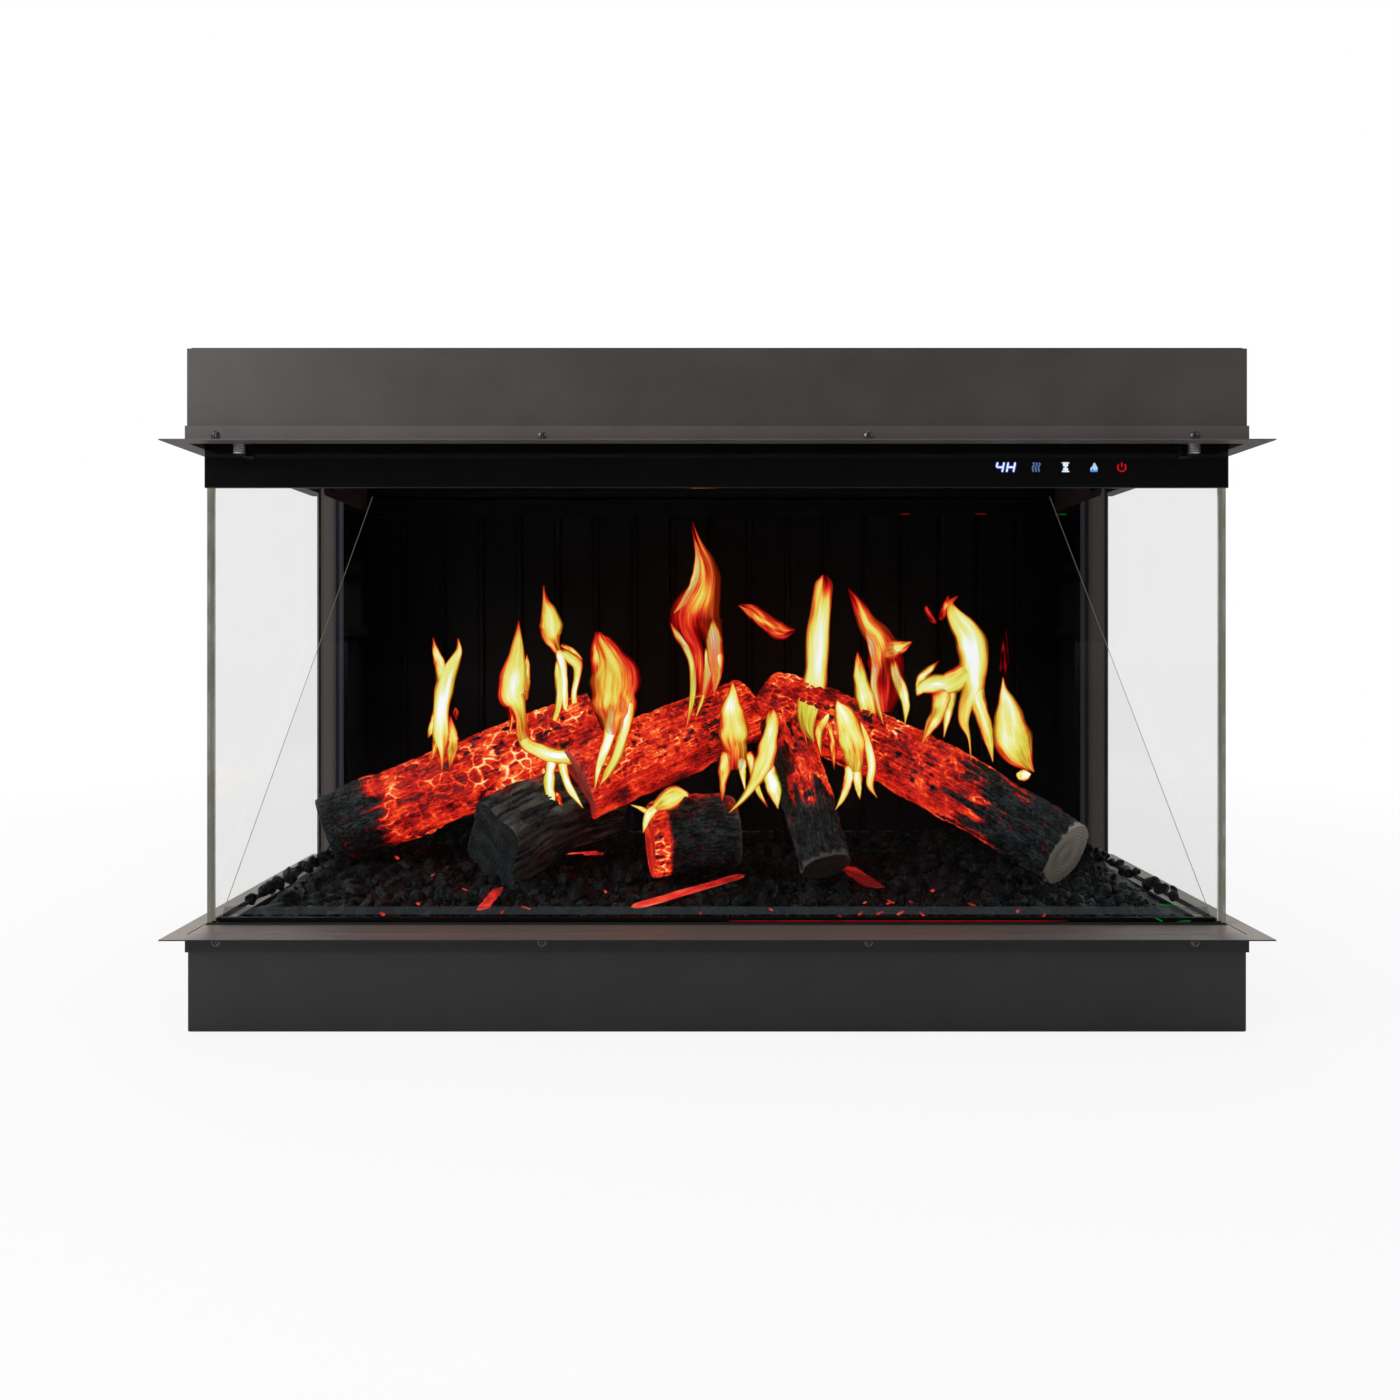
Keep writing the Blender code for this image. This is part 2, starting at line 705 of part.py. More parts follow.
def make_light_shelf():
    half = BEARER_X - CLEARANCE
    front = BED_FRONT + LIGHT_SHELF_BORDER
    back = BED_BACK - LIGHT_SHELF_BORDER
    top = LIGHT_SHELF_HEIGHT
    foot = SHEET + CLEARANCE
    line = [(-half, foot), (-half, top), (half, top), (half, foot)]
    prism("light_shelf", thickened(line, -SHEET), "Y", front, back, GALVANISED)
    inset = LIGHT_BOARD_INSET_SHARE * (back - front)
    wide = half - LIGHT_SHELF_BORDER
    make_light_board("ember_light_board_front", front + inset, wide, top + CLEARANCE)
    make_light_board("ember_light_board_rear", back - inset, wide, top + CLEARANCE)


def make_light_board(name, middle, half, low):
    """A circuit board strip with a row of square lamps standing on it."""
    pitch = 2 * half / LIGHT_COUNT
    edge = LIGHT_SIDE / 2
    wide = LIGHT_BOARD_WIDTH / 2
    strip = block(name, (-half, middle - wide, low), (half, middle + wide, low + LIGHT_BOARD), BOARD_GREEN)
    lamps = []
    for i in range(LIGHT_COUNT):
        x = pitch * (i + 0.5) - half
        corner = (x - edge, middle - edge, low + LIGHT_BOARD / 2)
        lamps.append((corner, (x + edge, middle + edge, low + LIGHT_BOARD + LIGHT_PROUD)))
    boolean(strip, blocks(name + "_lamps", lamps, None), "UNION")


def make_fuel_tray():
    half = BED_X - TRAY_GAP
    outer = rectangle(-half, half, BED_FRONT, BED_BACK)
    bm = bmesh.new()
    rim = [bm.verts.new((x, y, DECK - SHEET - CLEARANCE)) for x, y in outer]
    floor = [bm.verts.new((x, y, TRAY_FLOOR)) for x, y in outer]
    bm.faces.new(list(reversed(floor)))
    for i in range(len(outer)):
        j = (i + 1) % len(outer)
        bm.faces.new((floor[i], floor[j], rim[j], rim[i]))
    tray = add_object("fuel_tray", bm, BLACK)
    wall = tray.modifiers.new("sheet", "SOLIDIFY")
    wall.thickness = TRAY_SHEET
    wall.offset = -1.0
    wall.use_even_offset = True
    low = (-half + WINDOW_BORDER, BED_FRONT + WINDOW_BORDER, TRAY_FLOOR - OVERRUN)
    high = (half - WINDOW_BORDER, BED_BACK - WINDOW_BORDER, TRAY_FLOOR + OVERRUN)
    cut(tray, block("tray_window", low, high, None))


def make_diffuser():
    half = BED_X - TRAY_GAP - WINDOW_BORDER + DIFFUSER_LAP
    low = TRAY_FLOOR + TRAY_SHEET + CLEARANCE
    front = BED_FRONT + WINDOW_BORDER - DIFFUSER_LAP
    back = BED_BACK - WINDOW_BORDER + DIFFUSER_LAP
    block("ember_diffuser", (-half, front, low), (half, back, low + DIFFUSER), OPAL)


def scattered(index):
    """A repeatable vector with each value between -1 and 1, unlike for each index."""
    return 2 * noise.cell_vector(Vector((index + 0.5, 0.5, 0.5))) - Vector((1, 1, 1))


def bed_height(y):
    """The coals' level: it rises from the front edge and stays up behind, where the logs lie."""
    along = (y - BED_FRONT) / (BED_LENGTH * BED_RISE_SHARE)
    return BED_TOP + BED_MOUND * math.sin(math.pi / 2 * min(max(along, 0.0), 1.0))


def make_coal_bed():
    """The moulded bed: one slab with coal lumps grown out of it."""
    half = BED_X - TRAY_GAP - TRAY_SHEET - CLEARANCE
    front = BED_FRONT + TRAY_SHEET + CLEARANCE
    back = BED_BACK - TRAY_SHEET - CLEARANCE
    rings = []
    for i in range(BED_STATIONS + 1):
        x = half * (2 * i / BED_STATIONS - 1)
        ring = [(x, front, BED_FLOOR), (x, back, BED_FLOOR)]
        for j in reversed(range(BED_STEPS + 1)):
            y = front + (back - front) * j / BED_STEPS
            ring.append((x, y, bed_height(y)))
        rings.append(ring)
    bed = rings_object("coal_bed", rings, COAL)
    bm = bmesh.new()
    wide = half - COAL_EDGE
    long_half = (back - front) / 2 - COAL_EDGE
    middle = (front + back) / 2
    for row in range(COAL_ROWS):
        for column in range(COAL_COLUMNS):
            index = row * COAL_COLUMNS + column
            jitter = scattered(index)
            x = wide * (2 * (column + COAL_JITTER_SHARE * jitter.x) / (COAL_COLUMNS - 1) - 1)
            y = middle + long_half * (2 * (row + COAL_JITTER_SHARE * jitter.y) / (COAL_ROWS - 1) - 1)
            x = min(max(x, -wide), wide)
            y = min(max(y, middle - long_half), middle + long_half)
            radius = COAL_RADIUS + COAL_RADIUS_SPREAD * jitter.z
            level = bed_height(y) - COAL_SINK
            turn = Matrix.Rotation(math.pi * jitter.x, 4, jitter)
            size = Matrix.Diagonal((*COAL_SHAPE_SHARES, 1.0))
            place = Matrix.Translation((x, y, level)) @ turn @ size
            bmesh.ops.create_icosphere(bm, subdivisions=1, radius=radius, matrix=place)
    for point in bm.verts:
        point.co.z = max(point.co.z, BED_FLOOR + BED_SLAB / 4)
    lumps = add_object("coal_lumps", bm, None)
    join = boolean(bed, lumps, "UNION")
    join.use_self = True
    return bed


def log_point(shares, radius):
    """One end of a log's axis. A thicker log lies higher on the coals."""
    across, along, lift = shares
    lying = BED_TOP + BED_MOUND + radius * LOG_LIE_SHARE
    return Vector((across * BED_X, BED_FRONT + along * BED_LENGTH, lying + lift * LOG_RISE))


def make_log(name, start, end, start_share, end_share, bend_share, squareness, roll, seed, grow=0.0,
             finish=None):
    """A charred log: rings along a slightly bent axis, with bark that cracks into blocks."""
    start = log_point(start, LOG_RADIUS * start_share)
    end = log_point(end, LOG_RADIUS * end_share)
    run = end - start
    along = run.normalized()
    side = along.cross(Vector((0, 0, 1))).normalized()
    up = side.cross(along)
    rings = []
    for i in range(LOG_RINGS):
        share = i / (LOG_RINGS - 1)
        centre = start + run * share + up * (bend_share * LOG_BEND * math.sin(math.pi * share))
        radius = LOG_RADIUS * (start_share + (end_share - start_share) * share)
        shift = Vector()
        if i in (0, LOG_RINGS - 1):
            radius *= LOG_END_TAPER_SHARE
            shift = along * (grow if i else -grow)
        ring = []
        for j in range(LOG_SIDES):
            angle = 2 * math.pi * j / LOG_SIDES
            c, s = math.cos(angle), math.sin(angle)
            outward = side * c + up * s
            corner = 1 / max(abs(math.cos(angle - roll)), abs(math.sin(angle - roll)))
            reach = radius * (1 + squareness * (corner - 1))
            bark = noise.noise((centre + outward * reach) / BARK_SCALE + Vector((seed, 0, 0)))
            crack = noise.noise(Vector((j * CRACK_ROUND_SHARE, i * CRACK_ALONG_SHARE, seed)))
            bumps = BARK_DEPTH * (bark + CRACK_SHARE * crack)
            ring.append(centre + shift + outward * (reach + bumps + grow))
        rings.append(ring)
    return rings_object(name, rings, finish, in_triangles=True)


def make_logs(bed):
    """Each log is cut where an earlier one lies, and the bed where any of them lies."""
    earlier = []
    for log in LOGS:
        piece = make_log(*log, finish=CHAR)
        for cutter in earlier:
            cut(piece, cutter)
        grown = make_log(log[0] + "_seat", *log[1:], grow=LOG_SEAT)
        cut(bed, grown)
        earlier.append(grown)


# Panes, and the walls behind the logs.


def make_panes():
    low = (-PANE_X, PANE_FRONT, PANE_FOOT)
    high = (PANE_X, PANE_BACK, PANE_TOP)
    front = block("front_glass", low, high, CLEAR_GLASS)
    round_edges(front, GLASS_CHAMFER)
    for side, name in ((-1, "left_glass"), (1, "right_glass")):
        edges = sorted((side * (PANE_X - GLASS), side * PANE_X))
        low = (edges[0], PANE_BACK + CLEARANCE, PANE_FOOT)
        high = (edges[1], POST_FRONT - CLEARANCE, PANE_TOP)
        round_edges(block(name, low, high, CLEAR_GLASS), GLASS_CHAMFER)


def make_side_panels():
    """The steel corners behind the side panes, with a flange at the front as the post's face."""
    back = COVER_FRONT - CLEARANCE
    for side, name in ((-1, "left_side_panel"), (1, "right_side_panel")):
        x = side * HALF_WIDTH
        line = [
            (x - side * POST_FACE, POST_FRONT),
            (x, POST_FRONT),
            (x, back),
            (x - side * PANEL_REAR_FLANGE, back),
        ]
        outline = thickened(line, side * SHEET)
        prism(name, outline, "Z", DECK + CLEARANCE, HEAD - CLEARANCE, PAINT)


def make_rear_walls():
    """The ribbed panel behind the logs, its wings folded forward along the side panels, and
    the plain header above it."""
    pitch = 2 * INNER_X / (RIB_COUNT + 1)
    side = INNER_X - REAR_WALL_SHEET
    wing = REAR_WALL - WING
    line = [(-side + WING_HEM, wing), (-side, wing), (-side, REAR_WALL)]
    for i in range(1, RIB_COUNT + 1):
        x = -INNER_X + i * pitch
        line += [
            (x - RIB_WIDTH / 2, REAR_WALL),
            (x - RIB_CREST / 2, REAR_WALL - RIB_PROUD),
            (x + RIB_CREST / 2, REAR_WALL - RIB_PROUD),
            (x + RIB_WIDTH / 2, REAR_WALL),
        ]
    line += [(side, REAR_WALL), (side, wing), (side - WING_HEM, wing)]
    top = HEAD - RIB_TOP_BELOW_HEAD
    outline = thickened(line, REAR_WALL_SHEET)
    prism("ribbed_rear_panel", outline, "Z", DECK + CLEARANCE, top, BLACK)
    face = [
        (REAR_WALL, top + CLEARANCE),
        (REAR_WALL, CARRIER - CLEARANCE),
        (REAR_WALL + HEADER_FLANGE, CARRIER - CLEARANCE),
    ]
    prism("rear_header", thickened(face, -REAR_WALL_SHEET), "X", -INNER_X, INNER_X, BLACK)


def make_rear_cover():
    outer = rectangle(-HALF_WIDTH, HALF_WIDTH, DECK + CLEARANCE, WALL_TOP)
    first = -(VENT_COUNT - 1) / 2 * VENT_PITCH
    rows = (
        (0.0, CASING_HEIGHT - VENT_ROW_FROM_TOP),
        (-SIDE_VENT_X, LOW_VENT_ROW_HEIGHT),
        (SIDE_VENT_X, LOW_VENT_ROW_HEIGHT),
    )
    holes = []
    for middle, height in rows:
        for i in range(VENT_COUNT):
            centre = (middle + first + i * VENT_PITCH, height)
            holes.append(rounded_slot(centre, VENT_LENGTH, VENT_WIDTH))
    holes.append(circle((GLAND_X, SERVICE_Z), GLAND_RADIUS + CLEARANCE, 24))
    half = SWITCH_WIDTH / 2 - SWITCH_RIM / 2
    tall = SWITCH_HEIGHT / 2 - SWITCH_RIM / 2
    holes.append(rectangle(SWITCH_X - half, SWITCH_X + half, SERVICE_Z - tall, SERVICE_Z + tall))
    pierced_plate("rear_cover", outer, holes, SHEET, PAINT, upright_at=COVER_FRONT)


# Head: casing, trim, lid, glazing frame, soffit, clips and fascia.


def make_upper_casing():
    line = [(0.0, HEAD), (0.0, WALL_TOP), (-LID_FLANGE, WALL_TOP)]
    outline = thickened(line, SHEET)
    back = COVER_FRONT - CLEARANCE
    casing = around_three_sides("upper_casing", outline, HALF_WIDTH, FRONT, back, PAINT)
    cut(casing, screw_holes("head_screw_holes", HEAD + SCREW_FROM_FOLD))


def make_top_cover():
    half = HALF_WIDTH - LID_INSET
    outer = rectangle(-half, half, FRONT + LID_INSET, REAR - LID_INSET)
    holes = []
    first = -(INLET_SLOT_COUNT - 1) / 2 * VENT_PITCH
    for i in range(INLET_SLOT_COUNT):
        x = first + i * VENT_PITCH
        holes.append(rounded_slot((x, FRONT + INLET_SLOT_FROM_FRONT), INLET_SLOT_LENGTH, VENT_WIDTH))
        holes.append(rounded_slot((x, REAR - LID_VENT_FROM_REAR), VENT_LENGTH, VENT_WIDTH))
    pierced_plate("top_cover", outer, holes, LID_SHEET, PAINT, level=CASING_HEIGHT - LID_SHEET)


def make_head_frame():
    """An angle round the tops of the panes: its web over them and its leg behind them."""
    leg = -GLASS - FRAME_GAP
    top = FRAME_WEB + FRAME_SHEET
    outline = [
        (FRAME_MARGIN, FRAME_WEB),
        (leg, FRAME_WEB),
        (leg, FRAME_WEB - FRAME_LEG),
        (leg - FRAME_SHEET, FRAME_WEB - FRAME_LEG),
        (leg - FRAME_SHEET, top),
        (FRAME_MARGIN, top),
    ]
    rear = POST_FRONT + TRIM_PAST_POST
    around_three_sides("head_frame", outline, PANE_X, PANE_FRONT, rear, BLACK)


def make_soffit():
    front = FRONT + SHEET + CLEARANCE
    back = PANE_FRONT - FRAME_MARGIN - CLEARANCE
    middle = (front + back) / 2
    outer = rectangle(-INNER_X, INNER_X, front, back)
    first = -(OUTLET_SLOT_COUNT - 1) / 2 * OUTLET_SLOT_PITCH
    holes = []
    for i in range(OUTLET_SLOT_COUNT):
        centre = (first + i * OUTLET_SLOT_PITCH, middle)
        holes.append(rounded_slot(centre, OUTLET_SLOT_LENGTH, OUTLET_SLOT_WIDTH))
    for side in (-1, 1):
        holes.append(circle((side * CLIP_X, CLIP_Y), THUMB_SHANK_RADIUS + CLEARANCE, 16))
    pierced_plate("soffit_grille", outer, holes, SOFFIT_SHEET, BLACK, level=SOFFIT)


def make_glass_clips():
    low = KNOB_TOP + CLEARANCE
    high = SOFFIT - CLEARANCE
    for side, name in ((-1, "left"), (1, "right")):
        x = side * CLIP_X
        corner = (x - CLIP_WIDTH / 2, CLIP_BACK - CLIP_DEPTH, low)
        other = (x + CLIP_WIDTH / 2, CLIP_BACK, high)
        clip = block(f"glass_clip_{name}", corner, other, BLACK)
        round_edges(clip, EDGE_ROUND)
        radius = THUMB_SHANK_RADIUS + CLEARANCE
        centre = (x, CLIP_Y, (low + high) / 2)
        reach = high - low + 2 * OVERRUN
        cut(clip, rods(f"glass_clip_{name}_hole", [centre], (0, 0, 1), radius, reach, 16, None))
        make_thumbscrew(f"glass_thumbscrew_{name}", x)


def make_thumbscrew(name, x):
    """A knurled knob with its threaded shank up through the clip and the soffit."""
    count = 2 * THUMB_TEETH

    def ring(height, crest, root):
        points = []
        for i in range(count):
            angle = 2 * math.pi * i / count
            reach = crest if i % 2 else root
            points.append((x + reach * math.cos(angle), CLIP_Y + reach * math.sin(angle), height))
        return points

    inner = THUMB_RADIUS - THUMB_GROOVE
    shank = THUMB_SHANK_RADIUS
    top = SOFFIT_TOP + FRAME_SHEET
    rings = [
        ring(KNOB_LOW, inner - THUMB_GROOVE, inner - THUMB_GROOVE),
        ring(KNOB_LOW + THUMB_GROOVE, THUMB_RADIUS, inner),
        ring(KNOB_TOP - THUMB_GROOVE, THUMB_RADIUS, inner),
        ring(KNOB_TOP, inner - THUMB_GROOVE, inner - THUMB_GROOVE),
        ring(KNOB_TOP, shank, shank),
        ring(top, shank, shank),
    ]
    rings_object(name, rings, CHROME)


def make_fascia():
    half = PANE_X + FASCIA_SIDE_PAST
    low = (-half, FASCIA_FRONT, HEAD - FASCIA_BELOW_HEAD)
    high = (half, FASCIA_BACK, HEAD + FASCIA_INTO_HEAD)
    fascia = block("control_fascia", low, high, BLACK_GLASS)
    round_edges(fascia, GLASS_CHAMFER)


def make_touch_board():
    """The touch board in its shallow case, against the back of the front pane."""
    front = PANE_BACK + CLEARANCE
    low = HEAD - FASCIA_BELOW_HEAD + (FASCIA_BELOW_HEAD - TOUCH_BOARD_HEIGHT) / 2
    back = front + TOUCH_BOARD_DEPTH
    first = TOUCH_BOARD_X - TOUCH_BOARD_WIDTH / 2
    corner = (first + TOUCH_BOARD_WIDTH, back, low + TOUCH_BOARD_HEIGHT)
    board = block("touch_board", (first, front, low), corner, BLACK)
    round_edges(board, EDGE_ROUND)
    middle = low + TOUCH_BOARD_HEIGHT / 2
    key = TOUCH_BOARD_X - (KEY_COUNT - 1) / 2 * KEY_PITCH
    pads = []
    for i in range(KEY_COUNT):
        x = key + i * KEY_PITCH
        corner = (x - KEY_PAD / 2, back - KEY_PAD_PROUD, middle - KEY_PAD / 2)
        pads.append((corner, (x + KEY_PAD / 2, back + KEY_PAD_PROUD, middle + KEY_PAD / 2)))
    boolean(board, blocks("touch_board_pads", pads, None), "UNION")


# Inclined sheet and flame screen.


def make_inclined_sheet():
    foot = Vector((MIRROR_FOOT_Y, DECK + MIRROR_FOOT_HEIGHT))
    head = Vector((MIRROR_HEAD_Y, MIRROR_HEAD_Z))
    outline = thickened([tuple(foot), tuple(head)], -MIRROR)
    sheet = prism("inclined_sheet", outline, "X", -MIRROR_X, MIRROR_X, CLEAR_GLASS)
    round_edges(sheet, EDGE_ROUND)
    run = (head - foot).normalized()
    normal = Vector((-run.y, run.x))
    return foot, head, run, normal


def make_sheet_rails(foot, head, run, normal):
    """Rails grooved for the sheet: one on the front deck, one on the header behind the logs."""
    groove_side = MIRROR + CLEARANCE
    reach = FOOT_RAIL_DEPTH + OVERRUN
    low = foot - run * CLEARANCE
    groove = [
        low + normal * CLEARANCE,
        low + normal * CLEARANCE + run * reach,
        low - normal * groove_side + run * reach,
        low - normal * groove_side,
    ]
    front = PANE_BACK + GASKET_MARGIN + CLEARANCE
    floor = DECK + CLEARANCE
    half = MIRROR_X - CLEARANCE
    rail = block(
        "sheet_foot_rail",
        (-half, front, floor),
        (half, front + FOOT_RAIL_DEPTH, DECK + FOOT_RAIL_HEIGHT),
        BLACK,
    )
    outline = [tuple(point) for point in groove]
    cut(rail, prism("foot_groove", outline, "X", -HALF_WIDTH, HALF_WIDTH, None))
    high = head + run * CLEARANCE
    groove = [
        high + normal * CLEARANCE,
        high + normal * CLEARANCE - run * reach,
        high - normal * groove_side - run * reach,
        high - normal * groove_side,
    ]
    back = REAR_WALL - CLEARANCE
    rail = block(
        "sheet_head_rail",
        (-half, back - HEAD_RAIL_DEPTH - MIRROR, MIRROR_HEAD_Z - HEAD_RAIL_HEIGHT / 2),
        (half, back, MIRROR_HEAD_Z + HEAD_RAIL_HEIGHT / 2),
        BLACK,
    )
    outline = [tuple(point) for point in groove]
    cut(rail, prism("head_groove", outline, "X", -HALF_WIDTH, HALF_WIDTH, None))


def make_screen():
    """The carrier with its window, the screen lying on it face down, and the shelf over both."""
    half = INNER_X
    line = [
        (-half, CARRIER + CARRIER_UPSTAND),
        (-half, CARRIER),
        (half, CARRIER),
        (half, CARRIER + CARRIER_UPSTAND),
    ]
    outline = thickened(line, SHEET)
    carrier = prism("screen_carrier", outline, "Y", CARRIER_FRONT, CARRIER_BACK, BLACK)
    wide = SCREEN_WIDTH / 2 - SCREEN_BORDER
    deep = SCREEN_DEPTH / 2 - SCREEN_BORDER
    low = (-wide, SCREEN_Y - deep, CARRIER - OVERRUN)
    high = (wide, SCREEN_Y + deep, CARRIER + OVERRUN)
    cut(carrier, block("carrier_window", low, high, None))
    low = (-SCREEN_WIDTH / 2, SCREEN_Y - SCREEN_DEPTH / 2, SCREEN_BOTTOM)
    high = (SCREEN_WIDTH / 2, SCREEN_Y + SCREEN_DEPTH / 2, SCREEN_TOP)
    screen = block("flame_screen", low, high, SCREEN_GLASS)
    round_edges(screen, EDGE_ROUND)
    foot = CARRIER + SHEET + CLEARANCE
    inner = SCREEN_WIDTH / 2 + SHELF_FROM_SCREEN
    outer = inner + SHELF_FOOT
    line = [(-outer, foot), (-inner, foot), (-inner, SHELF), (inner, SHELF), (inner, foot), (outer, foot)]
    front = SCREEN_Y - SHELF_LENGTH / 2
    prism("electronics_shelf", thickened(line, SHEET), "Y", front, front + SHELF_LENGTH, GALVANISED)


def make_power_supply():
    low = SHELF + SHEET + CLEARANCE
    x = SUPPLY_X - SUPPLY_LENGTH / 2
    y = SCREEN_Y - SUPPLY_WIDTH / 2
    top = low + SUPPLY_HEIGHT
    back = y + SUPPLY_WIDTH
    body = block("power_supply", (x, y, low), (x + SUPPLY_LENGTH, back, top), GALVANISED)
    pitch = SUPPLY_LENGTH / (FIN_COUNT + 1)
    grooves = []
    for i in range(1, FIN_COUNT + 1):
        middle = x + i * pitch
        corner = (middle - FIN_WIDTH / 2, y - OVERRUN, top - FIN_CUT)
        grooves.append((corner, (middle + FIN_WIDTH / 2, back + OVERRUN, top + OVERRUN)))
    cut(body, blocks("supply_grooves", grooves, None))


def make_control_board():
    """The board on four corner standoffs, with its relays and its terminal block."""
    low = SHELF + SHEET + CLEARANCE
    level = low + BOARD_STANDOFF
    x = BOARD_X - BOARD_WIDTH / 2
    y = SCREEN_Y - BOARD_LENGTH / 2
    top = level + BOARD
    board = block("control_board", (x, y, level), (x + BOARD_WIDTH, y + BOARD_LENGTH, top), BOARD_GREEN)
    seat = BOARD / 2
    stand = 2 * BOARD_STANDOFF
    fitted = []
    for across in (x + stand, x + BOARD_WIDTH - stand):
        for along in (y + stand, y + BOARD_LENGTH - stand):
            corner = (across - BOARD_STANDOFF, along - BOARD_STANDOFF, low)
            fitted.append((corner, (across + BOARD_STANDOFF, along + BOARD_STANDOFF, level + seat)))
    for i in range(RELAY_COUNT):
        across = x + (i + 1) * BOARD_WIDTH / (RELAY_COUNT + 1)
        corner = (across - RELAY_SIDE / 2, y + stand, top - seat)
        fitted.append((corner, (across + RELAY_SIDE / 2, y + stand + RELAY_SIDE, top + RELAY_HEIGHT)))
    back = y + BOARD_LENGTH - stand
    corner = (BOARD_X - TERMINAL_WIDTH / 2, back - TERMINAL_DEPTH, top - seat)
    fitted.append((corner, (BOARD_X + TERMINAL_WIDTH / 2, back, top + TERMINAL_HEIGHT)))
    boolean(board, blocks("board_parts", fitted, None), "UNION")


# Blower and heating element.


def blade_outline(turn):
    """One blade's section: a thin crescent from the bore out to the rim, leaning forwards."""
    middle = []
    for i in range(BLADE_STEPS + 1):
        share = i / BLADE_STEPS
        radius = IMPELLER_BORE + (IMPELLER_RADIUS - IMPELLER_BORE) * share
        angle = turn + BLADE_LEAN * share * share / 2
        middle.append((BLOWER_Y + radius * math.cos(angle), BLOWER_Z + radius * math.sin(angle)))
    return thickened(middle, BLADE_THICKNESS)


def make_impeller():
    """Curved blades seated in a disc at each end and one in the middle, with a stub shaft out
    of each end disc. Its origin lies on its axis."""
    half = IMPELLER_LENGTH / 2
    bm = bmesh.new()
    for i in range(BLADE_COUNT):
        outline = blade_outline(2 * math.pi * i / BLADE_COUNT)
        low = -half + BLADE_SEAT
        face = bm.faces.new([bm.verts.new((low, a, b)) for a, b in outline])
        moved = bmesh.ops.extrude_face_region(bm, geom=[face])
        ends = [part for part in moved["geom"] if isinstance(part, bmesh.types.BMVert)]
        bmesh.ops.translate(bm, verts=ends, vec=(2 * (half - BLADE_SEAT), 0, 0))
    impeller = add_object("blower_impeller", bm, ALUMINIUM)
    rim = IMPELLER_RADIUS + BLADE_THICKNESS
    centres = [(side * (half - IMPELLER_DISC / 2), BLOWER_Y, BLOWER_Z) for side in (-1, 0, 1)]
    discs = rods("impeller_discs", centres, (1, 0, 0), rim, IMPELLER_DISC, DISC_SIDES, None)
    reach = STUB_LENGTH + IMPELLER_DISC / 2
    places = [(side * (half - IMPELLER_DISC / 2 + reach / 2), BLOWER_Y, BLOWER_Z) for side in (-1, 1)]
    stubs = rods("impeller_stubs", places, (1, 0, 0), STUB_RADIUS, reach, 16, None)
    boolean(impeller, discs, "UNION")
    boolean(impeller, stubs, "UNION")
    move_origin(impeller, Vector((0.0, BLOWER_Y, BLOWER_Z)))


def move_origin(piece, origin):
    piece.data.transform(Matrix.Translation(-origin))
    piece.location = origin


def make_blower_housing():
    """The scroll over the impeller, the tongue under it, and an end plate each side."""
    outlet_front = BLOWER_Y - IMPELLER_RADIUS - SCROLL_OPEN
    foot = SOFFIT_TOP + CLEARANCE
    line = [(outlet_front, foot), (outlet_front, BLOWER_Z)]
    for i in range(SCROLL_STEPS):
        share = (i + 1) / SCROLL_STEPS
        angle = math.pi + (SCROLL_START - math.pi) * share
        radius = IMPELLER_RADIUS + BLADE_THICKNESS + SCROLL_OPEN + (SCROLL_CLOSE - SCROLL_OPEN) * share
        line.append((BLOWER_Y + radius * math.cos(angle), BLOWER_Z + radius * math.sin(angle)))
    reach = HOUSING_X + SCROLL_SHEET
    housing = prism("blower_housing", thickened(line, SCROLL_SHEET), "X", -reach, reach, GALVANISED)
    near = IMPELLER_RADIUS + BLADE_THICKNESS + TONGUE_GAP
    tip = (BLOWER_Y + near * math.cos(TONGUE_ANGLE), BLOWER_Z + near * math.sin(TONGUE_ANGLE))
    outlet_back = tip[0] - SCROLL_SHEET
    rear = (HOUSING_BACK, tip[1])
    line = [(outlet_back, foot), (outlet_back, tip[1]), rear]
    tongue = prism("blower_tongue", thickened(line, -SCROLL_SHEET), "X", -reach, reach, None)
    boolean(housing, tongue, "UNION")
    top = BLOWER_Z + HOUSING_TOP
    for side in (-1, 1):
        ends = sorted((side * HOUSING_X, side * (HOUSING_X + SCROLL_SHEET)))
        low = (ends[0], outlet_front - SCROLL_SHEET, foot)
        high = (ends[1], HOUSING_BACK, top)
        boolean(housing, block(f"housing_end_{side}", low, high, None), "UNION")
    radius = BUSH_RADIUS + CLEARANCE
    wide = MOTOR_BOSS_RADIUS + CLEARANCE
    for side, hole in ((-1, radius), (1, wide)):
        centre = (side * HOUSING_X, BLOWER_Y, BLOWER_Z)
        cutter = rods(f"housing_hole_{side}", [centre], (1, 0, 0), hole, 2 * OVERRUN, 24, None)
        cut(housing, cutter)


